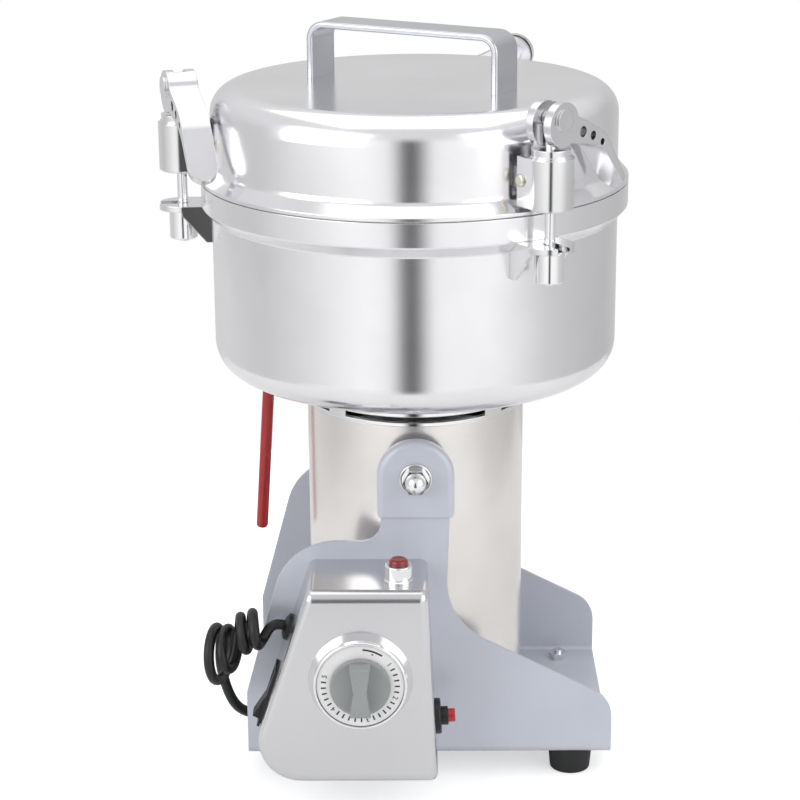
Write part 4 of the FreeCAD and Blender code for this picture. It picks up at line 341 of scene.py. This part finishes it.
polished = dict(Metallic=1.0)
FINISH = {
    "spun_steel": finish("SpunSteel", (0.82, 0.815, 0.835), 0.19, 0.05, MARKS,
                         {"Scale": 1400.0, "Stretch": 0.015}, 0.06, **polished),
    "column_steel": finish("ColumnSteel", (0.78, 0.75, 0.73), 0.25, 0.08, MARKS,
                           {"Scale": 1800.0, "Stretch": 0.015}, 0.1, **polished),
    "panel_steel": finish("PanelSteel", (0.66, 0.66, 0.675), 0.2, 0.03, GRAIN,
                          {"Scale": 60.0, "Spread": 12.0}, 0.02, **polished),
    "mirror_steel": finish("MirrorSteel", (0.76, 0.76, 0.77), 0.13, 0.05, GRAIN,
                           {"Scale": 60.0, "Spread": 12.0}, 0.02, **polished),
    "satin_steel": finish("SatinSteel", (0.56, 0.57, 0.60), 0.24, 0.06, GRAIN,
                          {"Scale": 300.0, "Spread": 16.0}, 0.05, **polished),
    "lever_steel": finish("LeverSteel", (0.70, 0.70, 0.72), 0.22, 0.05, GRAIN,
                          {"Scale": 200.0, "Spread": 16.0}, 0.03, **polished),
    "chrome": finish("Chrome", (0.84, 0.84, 0.85), 0.08, 0.04, GRAIN,
                     {"Scale": 90.0, "Spread": 16.0}, 0.02, **polished),
    "stand_paint": finish("GreyBlueEnamel", (0.59, 0.615, 0.69), 0.34, 0.04, GRAIN,
                          {"Scale": 500.0, "Spread": 18.0}, 0.1,
                          Metallic=0.1, Coat_Weight=0.25, Coat_Roughness=0.15),
    "cast_alloy": finish("CastAlloy", (0.52, 0.52, 0.53), 0.45, 0.1, GRAIN,
                         {"Scale": 700.0, "Spread": 30.0}, 0.3, Metallic=1.0),
    "black_moulding": finish("BlackMoulding", (0.006, 0.006, 0.007), 0.4, 0.15, GRAIN,
                             {"Scale": 1500.0, "Spread": 40.0}, 0.15),
    "cord_sheath": finish("CordSheath", (0.004, 0.004, 0.0045), 0.42, 0.15, GRAIN,
                          {"Scale": 900.0, "Spread": 60.0}, 0.12),
    "foot_rubber": finish("FootRubber", (0.014, 0.014, 0.015), 0.62, 0.2, GRAIN,
                          {"Scale": 800.0, "Spread": 60.0}, 0.3),
    "scale_white": finish("ScaleWhite", (0.88, 0.88, 0.88), 0.4, 0.02, GRAIN,
                          {"Scale": 900.0, "Spread": 30.0}, 0.05),
    "print_black": finish("PrintBlack", (0.02, 0.02, 0.02), 0.5, 0.1, GRAIN,
                          {"Scale": 900.0, "Spread": 30.0}, 0.05),
    "knob_grey": finish("KnobGrey", (0.33, 0.345, 0.345), 0.42, 0.05, GRAIN,
                        {"Scale": 1200.0, "Spread": 40.0}, 0.15),
    "red_button": finish("RedButton", (0.50, 0.010, 0.012), 0.25, 0.06, GRAIN,
                         {"Scale": 600.0, "Spread": 50.0}, 0.05, Coat_Weight=0.4),
    "red_sleeve": finish("RedSleeve", (0.42, 0.012, 0.012), 0.3, 0.06, GRAIN,
                         {"Scale": 300.0, "Spread": 40.0}, 0.08, Coat_Weight=0.3),
    "pin_steel": finish("PinSteel", (0.72, 0.69, 0.60), 0.2, 0.08, GRAIN,
                        {"Scale": 500.0, "Spread": 40.0}, 0.08, Metallic=1.0),
    "brass": finish("BrightBrass", (0.72, 0.53, 0.25), 0.25, 0.1, GRAIN,
                    {"Scale": 500.0, "Spread": 40.0}, 0.1, Metallic=1.0),
    "winding": finish("EnamelledCopper", (0.55, 0.22, 0.09), 0.35, 0.15, MARKS,
                      {"Scale": 1500.0, "Stretch": 0.05}, 0.5, Metallic=0.8),
    "sheet_iron": finish("LaminatedIron", (0.16, 0.16, 0.17), 0.5, 0.15, MARKS,
                         {"Scale": 2500.0, "Stretch": 0.001}, 0.5, Metallic=0.9),
    "silicone": finish("Silicone", (0.70, 0.70, 0.68), 0.5, 0.05, GRAIN,
                       {"Scale": 600.0, "Spread": 30.0}, 0.1),
    "phenolic": finish("Phenolic", (0.07, 0.035, 0.02), 0.4, 0.2, GRAIN,
                       {"Scale": 900.0, "Spread": 60.0}, 0.15),
    "red_lens": finish("RedLens", (0.26, 0.006, 0.008), 0.12, 0.05, GRAIN,
                       {"Scale": 200.0, "Spread": 60.0}, 0.05, Coat_Weight=0.6),
}
print(len(FINISH), "finishes")

# %% [markdown]
# ## Who wears what
# Every carried-over CAD node gets a finish in its material slots; the mesh
# itself is never touched.

# %% Dress the CAD nodes
WEARS = {
    "spun_steel": ["bowl_shell", "lid_shell"],
    "column_steel": ["motor_sleeve"],
    "panel_steel": ["control_box_shell"],
    "mirror_steel": ["bowl_forks", "lid_brackets", "tilt_rod",
                     "motor_shaft", "grinding_blades", "blade_nut", "bearings",
                     "foot_bolts", "trunnion_bolts", "timer_shaft"],
    "chrome": ["dial_collar", "lamp_bezel", "trunnion_nuts", "adaptor_ring", "box_screws"],
    "satin_steel": ["lid_handle"],
    "lever_steel": [],
    "stand_paint": ["stand_frame"],
    "cast_alloy": ["motor_end_cap", "trunnion_bosses", "bearing_brackets", "cooling_fan"],
    "black_moulding": ["trunnion_bushes", "timer_body", "overload_body", "overload_nut",
                       "switch_bezel", "switch_rocker", "cord_gland", "power_plug"],
    "foot_rubber": ["rubber_feet"],
    "scale_white": ["dial_scale"],
    "knob_grey": ["timer_knob"],
    "red_button": ["overload_button"],
    "red_sleeve": ["tilt_grip"],
    "brass": ["panel_nuts", "plug_pins"],
    "pin_steel": ["clamp_pins"],
    "winding": ["field_coils", "commutator"],
    "sheet_iron": ["stator_core", "armature"],
    "silicone": ["lid_seal"],
    "phenolic": ["brush_gear"],
    "red_lens": ["lamp_lens"],
    "cord_sheath": ["cord_hank", "cord_tail"],
}
for number in (1, 2, 3):
    WEARS["mirror_steel"].append(f"clamp_housing_{number}")
    WEARS["chrome"].append(f"clamp_stud_{number}")
    WEARS["lever_steel"].append(f"clamp_lever_{number}")


def wear(thing, material):
    if not thing.material_slots:
        thing.data.materials.append(material)
    for slot in thing.material_slots:
        slot.material = material


for look, names in WEARS.items():
    for name in names:
        wear(nodes[name], FINISH[look])
wear(lead, FINISH["cord_sheath"])
undressed = set(nodes) - {name for names in WEARS.values() for name in names}
print("dressed", len(nodes) - len(undressed), "nodes; left:", sorted(undressed))

# %% [markdown]
# ## The printed dial
# The scale is a white ring inside the chrome collar. Its print runs clockwise:
# a thick bar near the top where the time starts, with a small arrow head
# inside it, then the numbers 1 to 5 with five fine ticks between each two.
# Printed ink has almost no height, so each mark is a thin raised shape on the
# face.

# %% Print on the scale
DIAL = (-32.0, -129.0, 88.0)
FACE = 7.5
PRINT_HEIGHT = 0.12


def on_dial(angle, radius, height):
    """A point on the dial; the angle runs clockwise from the top."""
    turn = math.radians(angle)
    return at(DIAL[0] + radius * math.sin(turn), DIAL[1] - height,
              DIAL[2] + radius * math.cos(turn))


def printed(name, outlines):
    """One mesh of thin marks; each outline is a list of (angle, radius)."""
    corners, faces = [], []
    for outline in outlines:
        first = len(corners)
        corners += [on_dial(angle, radius, FACE + PRINT_HEIGHT) for angle, radius in outline]
        corners += [on_dial(angle, radius, FACE) for angle, radius in outline]
        count = len(outline)
        faces.append([first + step for step in range(count)])
        for step in range(count):
            after = (step + 1) % count
            faces.append([first + after, first + step, first + count + step,
                          first + count + after])
    mesh = bpy.data.meshes.new(name)
    mesh.from_pydata(corners, [], faces)
    mesh.update()
    thing = link(bpy.data.objects.new(name, mesh))
    wear(thing, FINISH["print_black"])
    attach(thing, "stand")
    return thing


def tick(angle, inner, outer, width):
    half = math.degrees(width / 2 / outer)
    return [(angle - half, inner), (angle - half, outer), (angle + half, outer),
            (angle + half, inner)]


NUMBERS = "12345"
FIRST_NUMBER, NUMBER_STEP = 51.5, 58.7
TICKS_A_NUMBER = 6
TICK_STEP = NUMBER_STEP / TICKS_A_NUMBER
ticks = [tick(FIRST_NUMBER + TICK_STEP * step, 19.7, 22.5, 0.9)
         for step in range(TICKS_A_NUMBER * (len(NUMBERS) - 1)) if step % TICKS_A_NUMBER]
bar = [[(angle, 22.9) for angle in (4, 10, 16, 22, 28, 34)]
       + [(angle, 21.9) for angle in (34, 28, 22, 16, 10, 4)]]
arrow = [[(18, 20.9), (22, 20.9), (20, 19.9)]]
scale_marks = printed("scale_marks", ticks + bar + arrow)
print("scale marks:", len(ticks), "ticks")

# %% Numbers on the scale
NUMBER_RADIUS, NUMBER_HEIGHT = 21.1, 4.2
INK = 0.06


def numeral(text, angle, radius, height):
    data = bpy.data.curves.new("numeral_" + text, "FONT")
    data.body = text
    data.size = height / 1000
    data.align_x = "CENTER"
    data.align_y = "CENTER"
    data.extrude = INK / 1000
    thing = link(bpy.data.objects.new("numeral_" + text, data))
    place = Matrix.Translation(on_dial(angle, radius, FACE + INK))
    thing.matrix_world = place @ turned(90, "X") @ turned(-angle, "Z")
    thing.data.materials.append(FINISH["print_black"])
    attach(thing, "stand")
    return thing


for place, number in enumerate(NUMBERS):
    numeral(number, FIRST_NUMBER + NUMBER_STEP * place, NUMBER_RADIUS, NUMBER_HEIGHT)
print("numbers printed:", NUMBERS)

# %% [markdown]
# ## The white studio
# The photograph has a pure white background, and polished steel is made of
# what it mirrors. So the world is written for three kinds of ray. What the
# camera sees, directly or through glass, is plain white. What steel mirrors is
# a white room: a ramp that runs round the horizon holds a dark slot where the
# camera stands, a bright screen on each side of it and grey walls further
# back, and overhead it fades to an even pale grey. What lights a dull surface
# is a plain soft white.

# %% World
# Part of a full turn, counted from straight behind the mill, and brightness
WALLS = [(0.0, 0.60), (0.12, 0.66), (0.24, 0.60), (0.34, 0.80), (0.42, 1.0), (0.464, 0.95),
         (0.486, 0.04), (0.502, 0.03), (0.528, 0.98), (0.62, 0.95), (0.72, 0.62), (0.88, 0.50),
         (1.0, 0.60)]
# Share of the way from straight down to straight up, and share of the ceiling
CEILING = [(0.60, 0.0), (0.76, 1.0)]
CEILING_COLOUR = (0.74, 0.74, 0.75, 1)
WHITE = (1, 1, 1, 1)
ROOM_STRENGTH, SOFT_STRENGTH = 1.12, 0.55


def grey_ramp(tree, source, stops):
    """A ramp of greys; each stop is (position, brightness)."""
    ramp = add(tree, "ShaderNodeValToRGB")
    tree.links.new(source, ramp.inputs[0])
    elements = ramp.color_ramp.elements
    while len(elements) < len(stops):
        elements.new(0.5)
    for element, (position, level) in zip(elements, stops):
        element.position = position
        element.color = (level, level, level, 1)
    return ramp.outputs[0]


def halved(tree, value, factor):
    """value * factor + 0.5, which brings an angle or a height to 0..1."""
    made = math_node(tree, "MULTIPLY_ADD", value, factor)
    made.node.inputs[2].default_value = 0.5
    return made


def room_colour(tree):
    place = add(tree, "ShaderNodeTexCoord")
    parts = add(tree, "ShaderNodeSeparateXYZ")
    tree.links.new(place.outputs["Generated"], parts.inputs[0])
    forward = math_node(tree, "MULTIPLY", parts.outputs[1], -1.0)
    azimuth = math_node(tree, "ARCTAN2", parts.outputs[0], forward)
    walls = grey_ramp(tree, halved(tree, azimuth, 0.5 / math.pi), WALLS)
    ceiling = grey_ramp(tree, halved(tree, parts.outputs[2], 0.5), CEILING)
    room = add(tree, "ShaderNodeMix", data_type="RGBA")
    tree.links.new(ceiling, room.inputs[0])
    tree.links.new(walls, room.inputs[6])
    room.inputs[7].default_value = CEILING_COLOUR
    return room.outputs[2]


def shown_by(tree, shares):
    """A share for each kind of ray that shows the background, 0 for all others."""
    ray = add(tree, "ShaderNodeLightPath")
    total = 0.0
    for label, share in shares.items():
        weighed = math_node(tree, "MULTIPLY", ray.outputs[label], share)
        total = math_node(tree, "MAXIMUM", weighed, total)
    return total


def studio_world():
    world = bpy.data.worlds.new("Studio")
    world.use_nodes = True
    bpy.context.scene.world = world
    tree = world.node_tree
    tree.nodes.clear()
    mirrored = add(tree, "ShaderNodeBackground")
    tree.links.new(room_colour(tree), mirrored.inputs[0])
    mirrored.inputs[1].default_value = ROOM_STRENGTH
    soft = add(tree, "ShaderNodeBackground")
    soft.inputs[0].default_value = WHITE
    soft.inputs[1].default_value = SOFT_STRENGTH
    white = add(tree, "ShaderNodeBackground")
    white.inputs[0].default_value = WHITE
    first = add(tree, "ShaderNodeMixShader")
    tree.links.new(shown_by(tree, {"Is Glossy Ray": 1.0}), first.inputs[0])
    tree.links.new(soft.outputs[0], first.inputs[1])
    tree.links.new(mirrored.outputs[0], first.inputs[2])
    second = add(tree, "ShaderNodeMixShader")
    seen = shown_by(tree, {"Is Camera Ray": 1.0, "Is Transmission Ray": 1.0})
    tree.links.new(seen, second.inputs[0])
    tree.links.new(first.outputs[0], second.inputs[1])
    tree.links.new(white.outputs[0], second.inputs[2])
    leave = add(tree, "ShaderNodeOutputWorld")
    tree.links.new(second.outputs[0], leave.inputs[0])
    return world


studio_world()
bpy.context.scene.view_settings.view_transform = "Standard"
print("world written")

# %% [markdown]
# Large area lamps to the left, right and above give the dull parts their
# shape. They are soft, because their size is close to their distance.

# %% Lamps
AIM = Vector((0, 0, 0.2))
# Name, place in metres, side in metres, watts
SOFT_BOXES = [("LeftBox", (-1.3, -1.0, 0.9), 1.4, 11),
              ("RightBox", (1.3, -0.9, 0.8), 1.4, 8),
              ("TopBox", (0, 0.2, 1.6), 1.6, 6.5)]


def soft_box(name, spot, side, watts):
    data = bpy.data.lights.new(name, "AREA")
    data.shape = "SQUARE"
    data.size = side
    data.energy = watts
    lamp = link(bpy.data.objects.new(name, data))
    lamp.location = spot
    lamp.rotation_euler = (AIM - Vector(spot)).to_track_quat("-Z", "Y").to_euler()
    return lamp


for box in SOFT_BOXES:
    soft_box(*box)
print(len(SOFT_BOXES), "lamps")

# %% [markdown]
# The floor is a plain pale sheet, just large enough for the shadow. Seen
# directly, in a mirror or through glass it is as white as the background, and
# it still takes the soft shadow under the feet. Further out the steel mirrors
# the room instead.

# %% Floor
FLOOR_REACH = 0.55
FLOOR_GLOW = {"Is Camera Ray": 0.5, "Is Glossy Ray": 0.08, "Is Transmission Ray": 0.5}


def pale_floor():
    mesh = bpy.data.meshes.new("floor")
    corners = [(x * FLOOR_REACH, y * FLOOR_REACH, 0)
               for x, y in ((-1, -1), (1, -1), (1, 1), (-1, 1))]
    mesh.from_pydata(corners, [], [(0, 1, 2, 3)])
    floor = link(bpy.data.objects.new("floor", mesh))
    material = bpy.data.materials.new("PaleFloor")
    material.use_nodes = True
    tree = material.node_tree
    shader = tree.nodes["Principled BSDF"]
    shader.inputs["Base Color"].default_value = (0.9, 0.9, 0.9, 1)
    shader.inputs["Roughness"].default_value = 0.9
    glow = add(tree, "ShaderNodeEmission")
    glow.inputs[0].default_value = WHITE
    both = add(tree, "ShaderNodeAddShader")
    tree.links.new(shown_by(tree, FLOOR_GLOW), glow.inputs[1])
    tree.links.new(shader.outputs[0], both.inputs[0])
    tree.links.new(glow.outputs[0], both.inputs[1])
    tree.links.new(both.outputs[0], tree.nodes["Material Output"].inputs[0])
    floor.data.materials.append(material)
    return floor


pale_floor()
print("floor laid")

# %% Update the view layer
bpy.context.view_layer.update()
